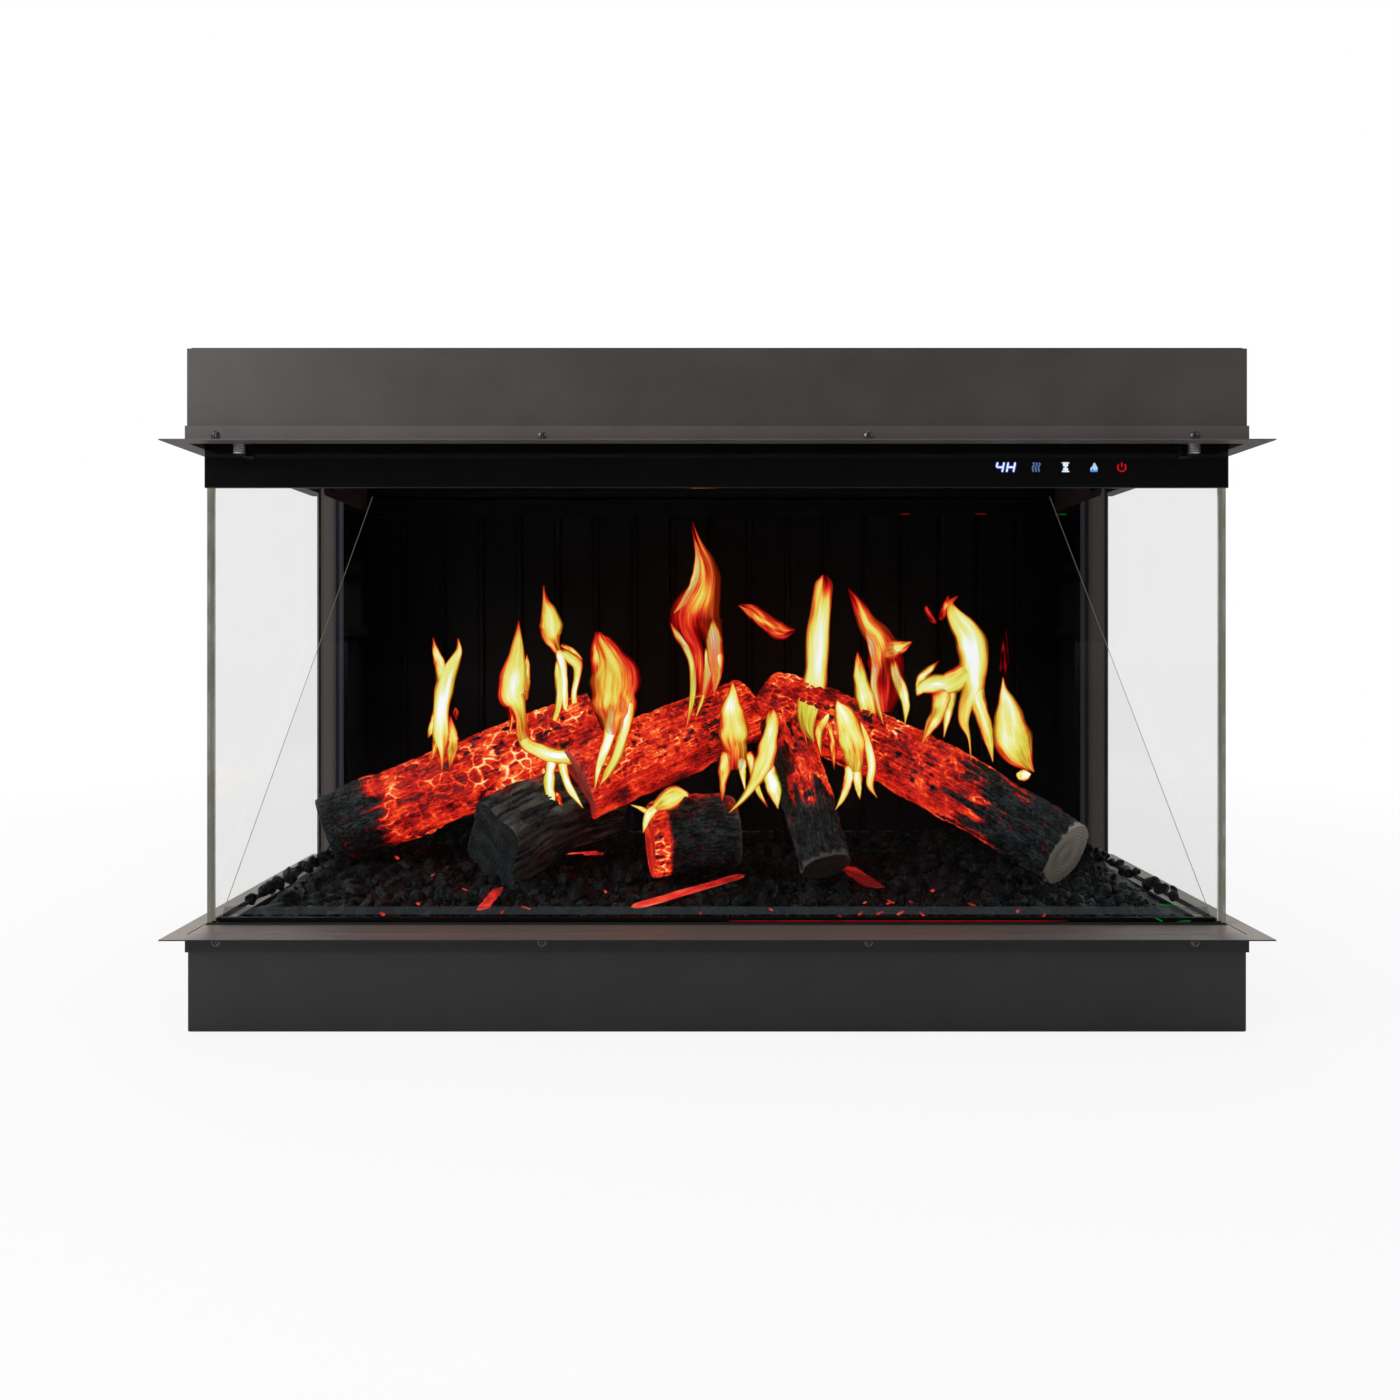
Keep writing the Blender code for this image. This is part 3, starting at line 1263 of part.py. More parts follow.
def make_blower_fittings():
    """The bush at the impeller's left stub, and the motor on its right one."""
    bore = STUB_RADIUS + CLEARANCE
    low = -BUSH_LENGTH / 2
    flange = CLEARANCE + SCROLL_SHEET
    profile = [
        (bore, BUSH_LENGTH / 2),
        (BUSH_RADIUS, BUSH_LENGTH / 2),
        (BUSH_RADIUS, low),
        (bore, low),
        (bore, BUSH_LENGTH / 2),
    ]
    x = -HOUSING_X - BUSH_LENGTH / 2 + flange
    turned("impeller_bush", profile, 24, (x, BLOWER_Y, BLOWER_Z), (-1, 0, 0), BRASS)
    face = HOUSING_X + SCROLL_SHEET + CLEARANCE
    depth = STUB_LENGTH
    profile = [
        (0.0, MOTOR_LENGTH),
        (MOTOR_RADIUS * MOTOR_CAP_SHARE, MOTOR_LENGTH),
        (MOTOR_RADIUS, MOTOR_LENGTH * MOTOR_CAN_SHARE),
        (MOTOR_RADIUS, 0.0),
        (MOTOR_BOSS_RADIUS, 0.0),
        (MOTOR_BOSS_RADIUS, -MOTOR_BOSS_LENGTH),
        (bore, -MOTOR_BOSS_LENGTH),
        (bore, depth),
        (0.0, depth),
    ]
    turned("blower_motor", profile, MOTOR_SIDES, (face, BLOWER_Y, BLOWER_Z), (1, 0, 0), GALVANISED)


def make_heating_element():
    """A finned bar across the blower's outlet."""
    outlet_front = BLOWER_Y - IMPELLER_RADIUS - SCROLL_OPEN
    near = IMPELLER_RADIUS + BLADE_THICKNESS + TONGUE_GAP
    outlet_back = BLOWER_Y + near * math.cos(TONGUE_ANGLE) - SCROLL_SHEET
    half = HOUSING_X - ELEMENT_END_GAP
    low = SOFFIT_TOP + CLEARANCE + ELEMENT_SIDE_GAP
    pitch = 2 * half / ELEMENT_FINS
    spine = low + ELEMENT_SPINE
    top = low + ELEMENT_HEIGHT
    line = [(-half, low), (half, low), (half, spine)]
    for i in reversed(range(ELEMENT_FINS)):
        near_x = pitch * (i + 0.5) - half - ELEMENT_FIN / 2
        far_x = near_x + ELEMENT_FIN
        line += [(far_x, spine), (far_x, top), (near_x, top), (near_x, spine)]
    line.append((-half, spine))
    front = outlet_front + ELEMENT_SIDE_GAP
    back = outlet_back - ELEMENT_SIDE_GAP
    prism("heating_element", line, "Y", front, back, ALUMINIUM)


# Cable gland and mains switch.


def make_gland():
    """A turned gland through the rear cover, with its hexagon nut part outside."""
    y = REAR
    profile = [
        (GLAND_BORE, GLAND_PROUD),
        (GLAND_RADIUS * GLAND_TIP_SHARE, GLAND_PROUD),
        (GLAND_RADIUS, (GLAND_NUT_HEIGHT + GLAND_PROUD) / 2),
        (GLAND_RADIUS, GLAND_NUT_HEIGHT),
        (GLAND_NUT_RADIUS, GLAND_NUT_HEIGHT),
        (GLAND_NUT_RADIUS, CLEARANCE),
        (GLAND_RADIUS, CLEARANCE),
        (GLAND_RADIUS, -GLAND_INSIDE),
        (GLAND_BORE, -GLAND_INSIDE),
        (GLAND_BORE, GLAND_PROUD),
    ]
    turned("cable_gland", profile, 24, (GLAND_X, y, SERVICE_Z), (0, 1, 0), PLASTIC)


def make_mains_switch():
    """A switch body snapped in the rear cover, and the rocker that tips in its pocket."""
    half = SWITCH_WIDTH / 2
    tall = SWITCH_HEIGHT / 2
    inset = SWITCH_RIM / 2 + CLEARANCE
    low = (SWITCH_X - half, REAR + CLEARANCE, SERVICE_Z - tall)
    high = (SWITCH_X + half, REAR + CLEARANCE + SWITCH_BEZEL, SERVICE_Z + tall)
    body = block("mains_switch_body", low, high, PLASTIC)
    low = (SWITCH_X - half + inset, REAR - SWITCH_DEPTH, SERVICE_Z - tall + inset)
    high = (SWITCH_X + half - inset, REAR + CLEARANCE + SWITCH_BEZEL / 2, SERVICE_Z + tall - inset)
    boolean(body, block("switch_back", low, high, None), "UNION")
    wide = half - SWITCH_RIM
    long_half = tall - SWITCH_RIM
    pivot_y = REAR + SWITCH_BEZEL - ROCKER_RISE / 2
    floor = pivot_y - ROCKER_SWING_RADIUS - ROCKER_GAP
    low = (SWITCH_X - wide, floor, SERVICE_Z - long_half)
    high = (SWITCH_X + wide, REAR + SWITCH_BEZEL + OVERRUN, SERVICE_Z + long_half)
    cut(body, block("switch_pocket", low, high, None))
    reach = math.sqrt((long_half - ROCKER_GAP) ** 2 - ROCKER_RISE**2)
    outline = [(0.0, ROCKER_RISE * ROCKER_WAIST_SHARE), (-reach, ROCKER_RISE), (-reach, 0.0)]
    for i in range(ROCKER_STEPS + 1):
        angle = math.pi + math.pi * i / ROCKER_STEPS
        along = ROCKER_SWING_RADIUS * ROCKER_WAIST_SHARE * math.cos(angle)
        outline.append((along, ROCKER_SWING_RADIUS * math.sin(angle)))
    outline += [(reach, 0.0), (reach, ROCKER_RISE)]
    c, s = math.cos(ROCKER_TILT), math.sin(ROCKER_TILT)
    tipped = [(u * s + v * c, u * c - v * s) for u, v in outline]
    thick = wide - ROCKER_GAP
    rocker = prism("mains_switch_rocker", tipped, "X", -thick, thick, PLASTIC)
    round_edges(rocker, EDGE_ROUND)
    rocker.location = (SWITCH_X, pivot_y, SERVICE_Z)


clear_scene()
PIECES = collection("three_sided_fireplace")
CUTTERS = collection("cutters")

PAINT = material("grey_brown_paint", (0.085, 0.078, 0.072), 0.5)
BLACK = material("black_paint", (0.012, 0.012, 0.013), 0.55)
RUBBER = material("seal", (0.02, 0.02, 0.02), 0.8)
ZINC = material("dark_zinc", (0.16, 0.15, 0.14), 0.4, 1.0)
CHROME = material("chrome", (0.8, 0.8, 0.8), 0.12, 1.0)
GALVANISED = material("galvanised_sheet", (0.45, 0.46, 0.47), 0.4, 1.0)
ALUMINIUM = material("aluminium", (0.62, 0.63, 0.64), 0.35, 1.0)
BRASS = material("sintered_bronze", (0.45, 0.30, 0.12), 0.4, 1.0)
PLASTIC = material("black_plastic", (0.02, 0.02, 0.02), 0.45)
CLEAR_GLASS = material("clear_glass", (0.92, 0.97, 0.95), 0.02, 0.0, 0.15)
BLACK_GLASS = material("black_glass", (0.006, 0.006, 0.007), 0.06)
SCREEN_GLASS = material("screen_glass", (0.01, 0.01, 0.012), 0.12)
OPAL = material("opal_diffuser", (0.9, 0.75, 0.6), 0.4)
BOARD_GREEN = material("circuit_board", (0.02, 0.12, 0.05), 0.45)
COAL = material("coal", (0.018, 0.018, 0.02), 0.35)
CHAR = material("charred_wood", (0.05, 0.025, 0.018), 0.8)

make_base_casing()
make_trim("lower_trim", DECK, -1, screw_holes("lower_trim_holes", DECK - SCREW_FROM_FOLD))
make_trim("upper_trim", HEAD, 1, screw_holes("upper_trim_holes", HEAD + SCREW_FROM_FOLD))
make_trim_screws("lower_trim_screw", DECK - SCREW_FROM_FOLD)
make_trim_screws("upper_trim_screw", HEAD + SCREW_FROM_FOLD)
make_sill_gasket()
make_tray_bearers()
make_light_shelf()
make_fuel_tray()
make_diffuser()
make_logs(make_coal_bed())
make_panes()
make_side_panels()
make_rear_walls()
make_rear_cover()
make_upper_casing()
make_top_cover()
make_head_frame()
make_soffit()
make_glass_clips()
make_fascia()
make_touch_board()
make_sheet_rails(*make_inclined_sheet())
make_screen()
make_power_supply()
make_control_board()
make_impeller()
make_blower_housing()
make_blower_fittings()
make_heating_element()
make_gland()
make_mains_switch()
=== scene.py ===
"""Looks of a three-sided electric fire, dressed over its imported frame. Lengths are in metres.

The sections follow the object: painted steel and its screws, black steel, seal, inner sheet,
boards, diffuser, coals, logs, splinters, glass, flames, control strip, screen, bare metal,
thumbscrews, and then the studio that shows it.
"""

import math

import bmesh
import bpy
import numpy as np
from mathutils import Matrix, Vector


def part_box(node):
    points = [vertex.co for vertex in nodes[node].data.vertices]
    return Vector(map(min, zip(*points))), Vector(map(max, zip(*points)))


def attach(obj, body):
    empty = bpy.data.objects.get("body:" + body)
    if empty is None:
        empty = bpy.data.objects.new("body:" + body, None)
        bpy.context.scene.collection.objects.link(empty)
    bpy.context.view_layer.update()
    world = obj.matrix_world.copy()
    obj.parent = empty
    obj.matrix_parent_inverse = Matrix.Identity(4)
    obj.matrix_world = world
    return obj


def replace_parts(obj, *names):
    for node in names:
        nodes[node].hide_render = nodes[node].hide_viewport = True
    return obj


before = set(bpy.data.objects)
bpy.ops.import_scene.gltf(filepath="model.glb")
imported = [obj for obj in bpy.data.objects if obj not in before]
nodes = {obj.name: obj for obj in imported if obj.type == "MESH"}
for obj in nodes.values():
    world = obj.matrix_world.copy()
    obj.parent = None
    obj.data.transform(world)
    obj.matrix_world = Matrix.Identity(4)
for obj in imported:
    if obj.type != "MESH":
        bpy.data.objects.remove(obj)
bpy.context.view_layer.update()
MM = 0.001


# Painted steel: the casings, the mitred trims round them, the side panels and the two covers.
# They are folded from 1.2 mm steel and powder-coated in satin grey-brown, with a fine orange peel.

class Signal:
    """A value on its way through a finish. Sums and products on it add Math nodes to its tree."""

    def __init__(self, tree, socket=None):
        self.tree = tree
        self.socket = socket

    def node(self, kind, settings=None, inputs=None, output=0):
        """Adds a node: its settings first, then a value or a Signal for each socket named."""
        made = self.tree.nodes.new("ShaderNode" + kind)
        for key, value in (settings or {}).items():
            if key != "stops":
                setattr(made, key, value)
                continue
            band = made.color_ramp.elements
            band[0].position = value[0][0]
            band[1].position = value[-1][0]
            for place, colour in value[1:-1]:
                band.new(place).color = (*colour, 1)
            band[0].color = (*value[0][1], 1)
            band[len(value) - 1].color = (*value[-1][1], 1)
        for key, value in (inputs or {}).items():
            if isinstance(value, Signal):
                self.tree.links.new(value.socket, made.inputs[key])
            else:
                made.inputs[key].default_value = value
        return Signal(self.tree, made.outputs[output] if made.outputs else None)

    def maths(self, operation, first, second):
        return self.node("Math", {"operation": operation}, {0: first, 1: second})

    def __add__(self, other):
        return self.maths("ADD", self, other)

    def __radd__(self, other):
        return self.maths("ADD", other, self)

    def __sub__(self, other):
        return self.maths("SUBTRACT", self, other)

    def __rsub__(self, other):
        return self.maths("SUBTRACT", other, self)

    def __mul__(self, other):
        return self.maths("MULTIPLY", self, other)

    def __rmul__(self, other):
        return self.maths("MULTIPLY", other, self)

    def between(self, low, high):
        """0 below low, 1 above high, and a straight run from one to the other."""
        return self.node("MapRange", {}, {"Value": self, "From Min": low, "From Max": high})

    def colours(self, low, high):
        """The colour low where this is 0 and high where it is 1. Either may be a Signal."""
        low = low if isinstance(low, Signal) else (*low, 1)
        high = high if isinstance(high, Signal) else (*high, 1)
        return self.node("Mix", {"data_type": "RGBA"}, {0: self, 6: low, 7: high}, 2)

    def along(self, axis):
        """This vector's part along X, Y or Z."""
        return self.node("SeparateXYZ", {}, {"Vector": self}, axis)

    def stretched(self, scales):
        """This vector with each of its parts multiplied by its own scale."""
        return self.node("VectorMath", {"operation": "MULTIPLY"}, {0: self, 1: scales})

    def cloud(self, scale, detail=2.0, roughness=0.5):
        """Soft noise from 0 to 1, read at this vector."""
        values = {"Vector": self, "Scale": scale, "Detail": detail, "Roughness": roughness}
        return self.node("TexNoise", {}, values, "Fac")

    def bumped(self, height):
        """The normal of a surface whose relief is this value times that height."""
        return self.node("Bump", {}, {"Height": self, "Distance": height})


def new_finish(name):
    """An empty material, and a Signal that its nodes start from."""
    material = bpy.data.materials.new(name)
    material.use_nodes = True
    material.node_tree.nodes.clear()
    return material, Signal(material.node_tree)


def place_on(start, kind="Object"):
    """Where a point lies on the piece or, for the kind Normal, which way it faces."""
    return start.node("TexCoord", {}, {}, kind)


def lay_on(start, sockets):
    """Closes a finish with one shader that has these values on its sockets."""
    shader = start.node("BsdfPrincipled", {}, sockets)
    start.node("OutputMaterial", {}, {"Surface": shader})


def dress(material, *names):
    """Puts a finish on the CAD pieces of those names."""
    for name in names:
        for held in nodes[name].material_slots:
            held.material = material


def shaded(colour, share):
    """A colour with each of its parts multiplied by the same share."""
    return tuple(part * share for part in colour)


def powder_coat(name, colour, top_lit_colour, lit_end_colour, roughness):
    """Satin powder coat: clouds of tone 60 mm wide, specks of 1 mm and an orange peel of 2 mm.
    Given a top colour, faces that look up take it as painted top light with streaks of dust, and past
    the panes they take the end colour, painted light."""
    material, start = new_finish(name)
    place = place_on(start)
    tone = place.cloud(16.0, 3.0) * 0.7 + place.cloud(900.0, 1.0) * 0.3
    peel = place.cloud(520.0, 2.0)
    coat = tone.between(0.3, 0.7).colours(shaded(colour, 0.84), shaded(colour, 1.18))
    if top_lit_colour is not None:
        height = place_on(start, "Normal").along("Z")
        ends = start.node("Math", {"operation": "ABSOLUTE"}, {0: place.along("X")}).between(0.503, 0.53)
        brushed = place.stretched((6.0, 300.0, 6.0)).cloud(1.0, 3.0).between(0.35, 0.65)
        dust_and_top_light = brushed.colours(shaded(top_lit_colour, 0.8), top_lit_colour)
        coat = height.between(0.6, 0.8).colours(coat, ends.colours(dust_and_top_light, lit_end_colour))
    lay_on(start, {
        "Base Color": coat,
        "Roughness": place.cloud(40.0, 3.0) * 0.12 + (roughness - 0.06),
        "Normal": peel.bumped(0.00006),
    })
    return material


# One paint in four tones: the base, the lower flange and the upper lip are set to their shade in the
# photograph. That is painted shade on the base, painted shadow under the lower trim's lip on its
# flange, and painted light on the upper lip. Faces that look up carry painted top light with streaks of
# dust, and the deck ends past the panes carry painted light.
COAT_COLOUR = (0.064, 0.056, 0.052)
SHADED_COAT_COLOUR = (0.019, 0.0175, 0.0168)
FLANGE_SHADOW_COLOUR = (0.0072, 0.0064, 0.0061)
LIT_LIP_COLOUR = (0.105, 0.089, 0.086)
TOP_LIGHT_AND_DUST_COLOUR = (0.155, 0.122, 0.112)
LIT_DECK_END_COLOUR = (0.36, 0.315, 0.28)

head_coat = powder_coat("grey_brown_coat", COAT_COLOUR, None, None, 0.46)
shaded_base_coat = powder_coat("grey_brown_coat_base_shaded", SHADED_COAT_COLOUR, TOP_LIGHT_AND_DUST_COLOUR, LIT_DECK_END_COLOUR, 0.46)
shadowed_flange_coat = powder_coat("grey_brown_coat_foot_shadowed", FLANGE_SHADOW_COLOUR, TOP_LIGHT_AND_DUST_COLOUR, LIT_DECK_END_COLOUR, 0.5)
lit_lip_coat = powder_coat("grey_brown_coat_trim_lit", LIT_LIP_COLOUR, TOP_LIGHT_AND_DUST_COLOUR, TOP_LIGHT_AND_DUST_COLOUR, 0.5)
dress(head_coat, "upper_casing", "top_cover", "rear_cover")
dress(shaded_base_coat, "base_casing")
dress(shadowed_flange_coat, "lower_trim")
dress(lit_lip_coat, "upper_trim")


def folded_panel(name, painted_light_share):
    """The same coat on the side panels, with painted light given off as emission for the fire's light.
    It lies on their front folds and, from front to back on their inner faces, on a fold, then a second
    fold past a dark joint, and then nowhere. The share scales the painted light."""
    material, start = new_finish(name)
    place = place_on(start)
    inward = place_on(start, "Normal")
    sides = start.node("VectorMath", {"operation": "MULTIPLY"}, {0: inward, 1: place})
    inner = 1 - sides.along("X").between(-0.3, -0.1)
    front = 1 - inward.along("Y").between(-0.9, -0.6)
    painted_fire_light = start.node("ValToRGB", {"stops": (
        (0.0, (0.07, 0.059, 0.055)), (0.4, (0.066, 0.056, 0.053)), (0.45, (0.044, 0.041, 0.044)),
        (0.55, (0.04, 0.04, 0.044)), (0.6, (0.009, 0.009, 0.012)), (0.74, (0.009, 0.009, 0.012)),
        (0.79, (0.036, 0.035, 0.042)), (0.97, (0.026, 0.026, 0.032)), (0.98, (0.0, 0.0, 0.001)),
        (1.0, (0.0, 0.0, 0.0)))}, {"Fac": place.along("Y").between(0.08, 0.162)})
    tone = place.cloud(16.0, 3.0) * 0.7 + place.cloud(900.0, 1.0) * 0.3
    coat = tone.between(0.3, 0.7).colours((0.053, 0.047, 0.043), (0.075, 0.066, 0.061))
    dimmed = start.node("VectorMath", {"operation": "SCALE"}, {0: painted_fire_light, "Scale": painted_light_share})
    glow = inner.colours((0.0, 0.0, 0.0), dimmed)
    lay_on(start, {
        "Base Color": inner.colours(coat, (0.008, 0.008, 0.009)),
        "Emission Color": front.colours(glow, shaded((0.058, 0.048, 0.045), painted_light_share)),
        "Emission Strength": 1.0,
        "Roughness": place.cloud(40.0, 3.0) * 0.12 + 0.4,
        "Normal": place.cloud(520.0, 2.0).bumped(0.00006),
    })
    return material


# Painted fire light on the side panels: full on the left, 0.55 of it on the right.
dress(folded_panel("grey_brown_coat_left", 1.0), "left_side_panel")
dress(folded_panel("grey_brown_coat_right", 0.55), "right_side_panel")


# Eight countersunk screws hold the two trims to the casings, four along each front. They are dark
# zinc-plated steel with a shallow dome and a cross recess, brighter and duller in patches.

def new_piece(name, points, faces, finish, smooth=True, body="casing"):
    """An object from points and faces, in that finish, which rides on a body."""
    mesh = bpy.data.meshes.new(name)
    mesh.from_pydata(points, [], faces)
    mesh.polygons.foreach_set("use_smooth", np.full(len(mesh.polygons), smooth))
    mesh.materials.append(finish)
    piece = bpy.data.objects.new(name, mesh)
    bpy.context.scene.collection.objects.link(piece)
    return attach(piece, body)


def tube_faces(rings, around):
    """Four-cornered faces between rings of points; each ring closes on itself."""
    index = np.arange(rings * around).reshape(rings, around)
    beside = np.roll(index, -1, axis=1)
    return np.stack([index[:-1], beside[:-1], beside[1:], index[1:]], axis=-1).reshape(-1, 4)


def closed_tube(rings):
    """Points and faces of rings (n, m, 3), closed by a fan to the middle of each end ring."""
    count, around = rings.shape[:2]
    poles = np.stack([rings[0].mean(axis=0), rings[-1].mean(axis=0)])
    points = np.vstack([rings.reshape(-1, 3), poles])
    here = np.arange(around)
    beside = np.roll(here, -1)
    foot = np.stack([beside, here, np.full(around, count * around)], axis=-1)
    last = here + (count - 1) * around
    after = beside + (count - 1) * around
    crown = np.stack([last, after, np.full(around, count * around + 1)], axis=-1)
    return points, tube_faces(count, around).tolist() + foot.tolist() + crown.tolist()


def plated(name, colour, roughness, metallic=1.0):
    """Plated or bare metal with fine scratches and duller patches."""
    material, start = new_finish(name)
    place = place_on(start)
    dull = place.cloud(150.0, 3.0)
    scratch = place.stretched((300.0, 300.0, 3000.0)).cloud(1.0, 2.0)
    lay_on(start, {
        "Base Color": dull.between(0.3, 0.75).colours(shaded(colour, 0.7), colour),
        "Metallic": metallic,
        "Roughness": dull * 0.2 + (roughness - 0.08),
        "Normal": scratch.bumped(0.00002),
    })
    return material


RECESS_DEPTH = 1.3 * MM
RECESS_WIDTH = 0.9 * MM
RECESS_REACH = 2.6 * MM
HEAD_SHARES = np.concatenate([np.linspace(0.04, 0.9, 26), [0.96, 1.0, 1.0, 0.55]])


def screw_head(name):
    """A head seen along +Y: height falls as the square of the radius, less a cross recess.

    The recess is cut where the distance from either arm of the cross is under its half width."""
    low, high = (np.array(corner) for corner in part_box(name))
    middle = (low + high) / 2
    reach = (high[0] - low[0]) / 2
    dome = (high[1] - low[1]) * 0.22
    angle = np.linspace(0, 2 * math.pi, 48, endpoint=False)
    share = HEAD_SHARES[:, None] * np.ones(48)
    across = share * reach * np.cos(angle)
    upward = share * reach * np.sin(angle)
    arm = np.minimum(np.abs(across), np.abs(upward))
    far = share * reach
    cut = np.clip(1.6 - arm / RECESS_WIDTH * 1.6, 0, 1) * np.clip((RECESS_REACH - far) / MM * 2, 0, 1)
    depth = dome * share ** 2 + cut * RECESS_DEPTH
    depth[-2:] = np.array([[dome * 1.9], [dome * 3.0]])
    rings = np.stack([middle[0] + across, low[1] + depth, middle[2] + upward], axis=-1)
    points, faces = closed_tube(rings[:, ::-1])
    piece = new_piece(name + "_head", points, faces, screw_plate)
    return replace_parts(piece, name)


screw_plate = plated("dark_zinc_plate", (0.16, 0.15, 0.15), 0.36)
for trim in ("lower_trim", "upper_trim"):
    for number in (1, 2, 3, 4):
        screw_head(f"{trim}_screw_{number}")


# Black steel: the ribbed rear panel with its wings, its header, the head frame, the soffit, the
# screen's carrier, the sheet's rails, the tray and the glass clips. All have matt black enamel.

def enamel(name, colour, roughness):
    """Matt black enamel: a fine dry grain, with dust that greys it a little in clouds."""
    material, start = new_finish(name)
    place = place_on(start)
    dust = place.cloud(9.0, 4.0) * place.cloud(700.0, 1.0)
    lay_on(start, {
        "Base Color": dust.between(0.2, 0.6).colours(colour, shaded(colour, 2.4)),
        "Roughness": dust * 0.2 + roughness,
        "Specular IOR Level": 0.15,
        "Normal": place.cloud(1400.0, 1.0).bumped(0.00004),
    })
    return material


rear_enamel = enamel("matt_black_enamel", (0.0009, 0.0016, 0.0025), 0.5)
dress(rear_enamel, "ribbed_rear_panel", "rear_header", "head_frame", "soffit_grille",
      "screen_carrier", "sheet_foot_rail", "sheet_head_rail", "fuel_tray",
      "glass_clip_left", "glass_clip_right")


# The seal is a black silicone strip on the deck, which the three panes stand on.

def moulded(name, colour, roughness, grain):
    """Moulded plastic or rubber with a spark-eroded grain of that size across."""
    material, start = new_finish(name)
    place = place_on(start)
    fine = place.cloud(1 / grain, 1.0)
    lay_on(start, {
        "Base Color": place.cloud(60.0, 3.0).between(0.4, 0.7).colours(colour, shaded(colour, 1.6)),
        "Roughness": fine * 0.15 + roughness,
        "Normal": fine.bumped(grain * 0.1),
    })
    return material


dress(moulded("seal_rubber", (0.016, 0.015, 0.014), 0.6, 0.9 * MM), "sill_gasket")


# Galvanised sheet inside the base and the head: the bearers, shelves, power supply case, blower
# scroll and motor can. The zinc has frozen into flat crystals, each of its own grey.

def galvanised(name):
    """Zinc spangle: cells of 9 mm, each with its own grey and roughness, and a faint cell edge."""
    material, start = new_finish(name)
    place = place_on(start)
    crystal = start.node("TexVoronoi", {}, {"Vector": place, "Scale": 110.0}, "Color")
    grey = start.node("SeparateColor", {}, {"Color": crystal}, "Red")
    lay_on(start, {
        "Base Color": grey.colours((0.33, 0.34, 0.35), (0.52, 0.53, 0.55)),
        "Metallic": 0.9,
        "Roughness": grey * 0.2 + 0.34,
        "Normal": (grey * 0.4 + place.cloud(900.0) * 0.2).bumped(0.0001),
    })
    return material


dress(galvanised("galvanised_sheet"), "tray_bearer_left", "tray_bearer_right", "light_shelf",
      "electronics_shelf", "power_supply", "blower_housing", "blower_motor")


# The circuit boards: two rows of lamps under the fuel bed, and the control board in the head.
# They are green glass-fibre boards with copper tracks under the lacquer.

def board_lacquer(name, lit):
    """Green lacquer, paler over tracks that run in straight steps. lit is what its lamps add."""
    material, start = new_finish(name)
    place = place_on(start)
    step = {"Vector": place.stretched((1.0, 2.5, 1.0)), "Scale": 260.0}
    cell = start.node("TexVoronoi", {"distance": "CHEBYCHEV"}, step, "Distance")
    track = 1 - cell.between(0.28, 0.34)
    lay_on(start, {
        "Base Color": track.colours((0.008, 0.07, 0.025), (0.02, 0.16, 0.06)),
        "Roughness": 0.42 - track * 0.1,
        "Emission Color": (*lit, 1),
        "Emission Strength": 1.0,
        "Normal": track.bumped(0.00004),
    })
    return material


dress(board_lacquer("board_green", (0.0, 0.0, 0.0)), "control_board")
dress(board_lacquer("lamp_board_green", (0.25, 0.035, 0.008)), "ember_light_board_front",
      "ember_light_board_rear")


# The diffuser is a 3 mm opal acrylic sheet under the fuel bed. The lamp boards light it from below in
# red, stronger in soft clouds.

def opal(name):
    """Milky acrylic with a red glow in soft clouds."""
    material, start = new_finish(name)
    place = place_on(start)
    glow = place.stretched((10.0, 14.0, 1.0)).cloud(1.0, 1.0)
    lay_on(start, {
        "Base Color": glow.colours((0.6, 0.3, 0.2), (0.85, 0.6, 0.45)),
        "Roughness": place.cloud(300.0) * 0.1 + 0.3,
        "Emission Color": glow.between(0.35, 0.7).colours((0.3, 0.02, 0.004), (0.8, 0.09, 0.02)),
        "Emission Strength": 0.5,
    })
    return material


dress(opal("opal_acrylic"), "ember_diffuser")


# The coal bed: broken black resin coals, wet-looking, on a moulded bed of small gravel that lies
# in the tray. They are heaped higher along the two sides, towards the back.

COAL_REACH = 13.5 * MM
GRAVEL_REACH = 5.5 * MM
COAL_PITCH = 24 * MM
GRAVEL_PITCH = 10.5 * MM
COAL_CUTS = 10
RIM_COALS = 18
RIM_TOP = 0.127
BED_DEPTH = 9 * MM
BED_HEAP = 17 * MM
SHEET_OFFSET = 0.350
SHEET_SPACE = 4 * MM


def mottle(places, size, seed):
    """Smooth noise from -1 to 1: a random value at each corner of cells of that size, eased
    between corners by 3t^2 - 2t^3 along each axis."""
    cells = np.asarray(places) / size
    corner = np.floor(cells).astype(np.int64)
    inside = cells - corner
    ease = inside * inside * (3 - 2 * inside)
    total = np.zeros(cells.shape[:-1])
    for shift in np.ndindex(2, 2, 2):
        key = ((corner + shift) * (374761393, 668265263, 1274126177)).sum(axis=-1)
        key = (key + seed * 974634777) & 0xFFFFFFFF
        key = ((key ^ (key >> 13)) * 1274126177) & 0xFFFFFFFF
        value = ((key ^ (key >> 16)) & 0xFFFF) / 32767.5 - 1
        total += value * np.where(shift, ease, 1 - ease).prod(axis=-1)
    return total


bed_low, bed_high = (np.array(corner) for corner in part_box("coal_bed"))


def bed_height(across, back):
    """The bed's top: level in front, and heaped towards the sides and the back."""
    sideways = np.clip(np.abs(across) / bed_high[0] * 1.9 - 0.9, 0, 1)
    behind = np.clip((back - bed_low[1]) / (bed_high[1] - bed_low[1]) * 1.5 - 0.15, 0, 1)
    heap = BED_HEAP * behind * (0.3 + 0.7 * sideways)
    return bed_low[2] + BED_DEPTH + heap


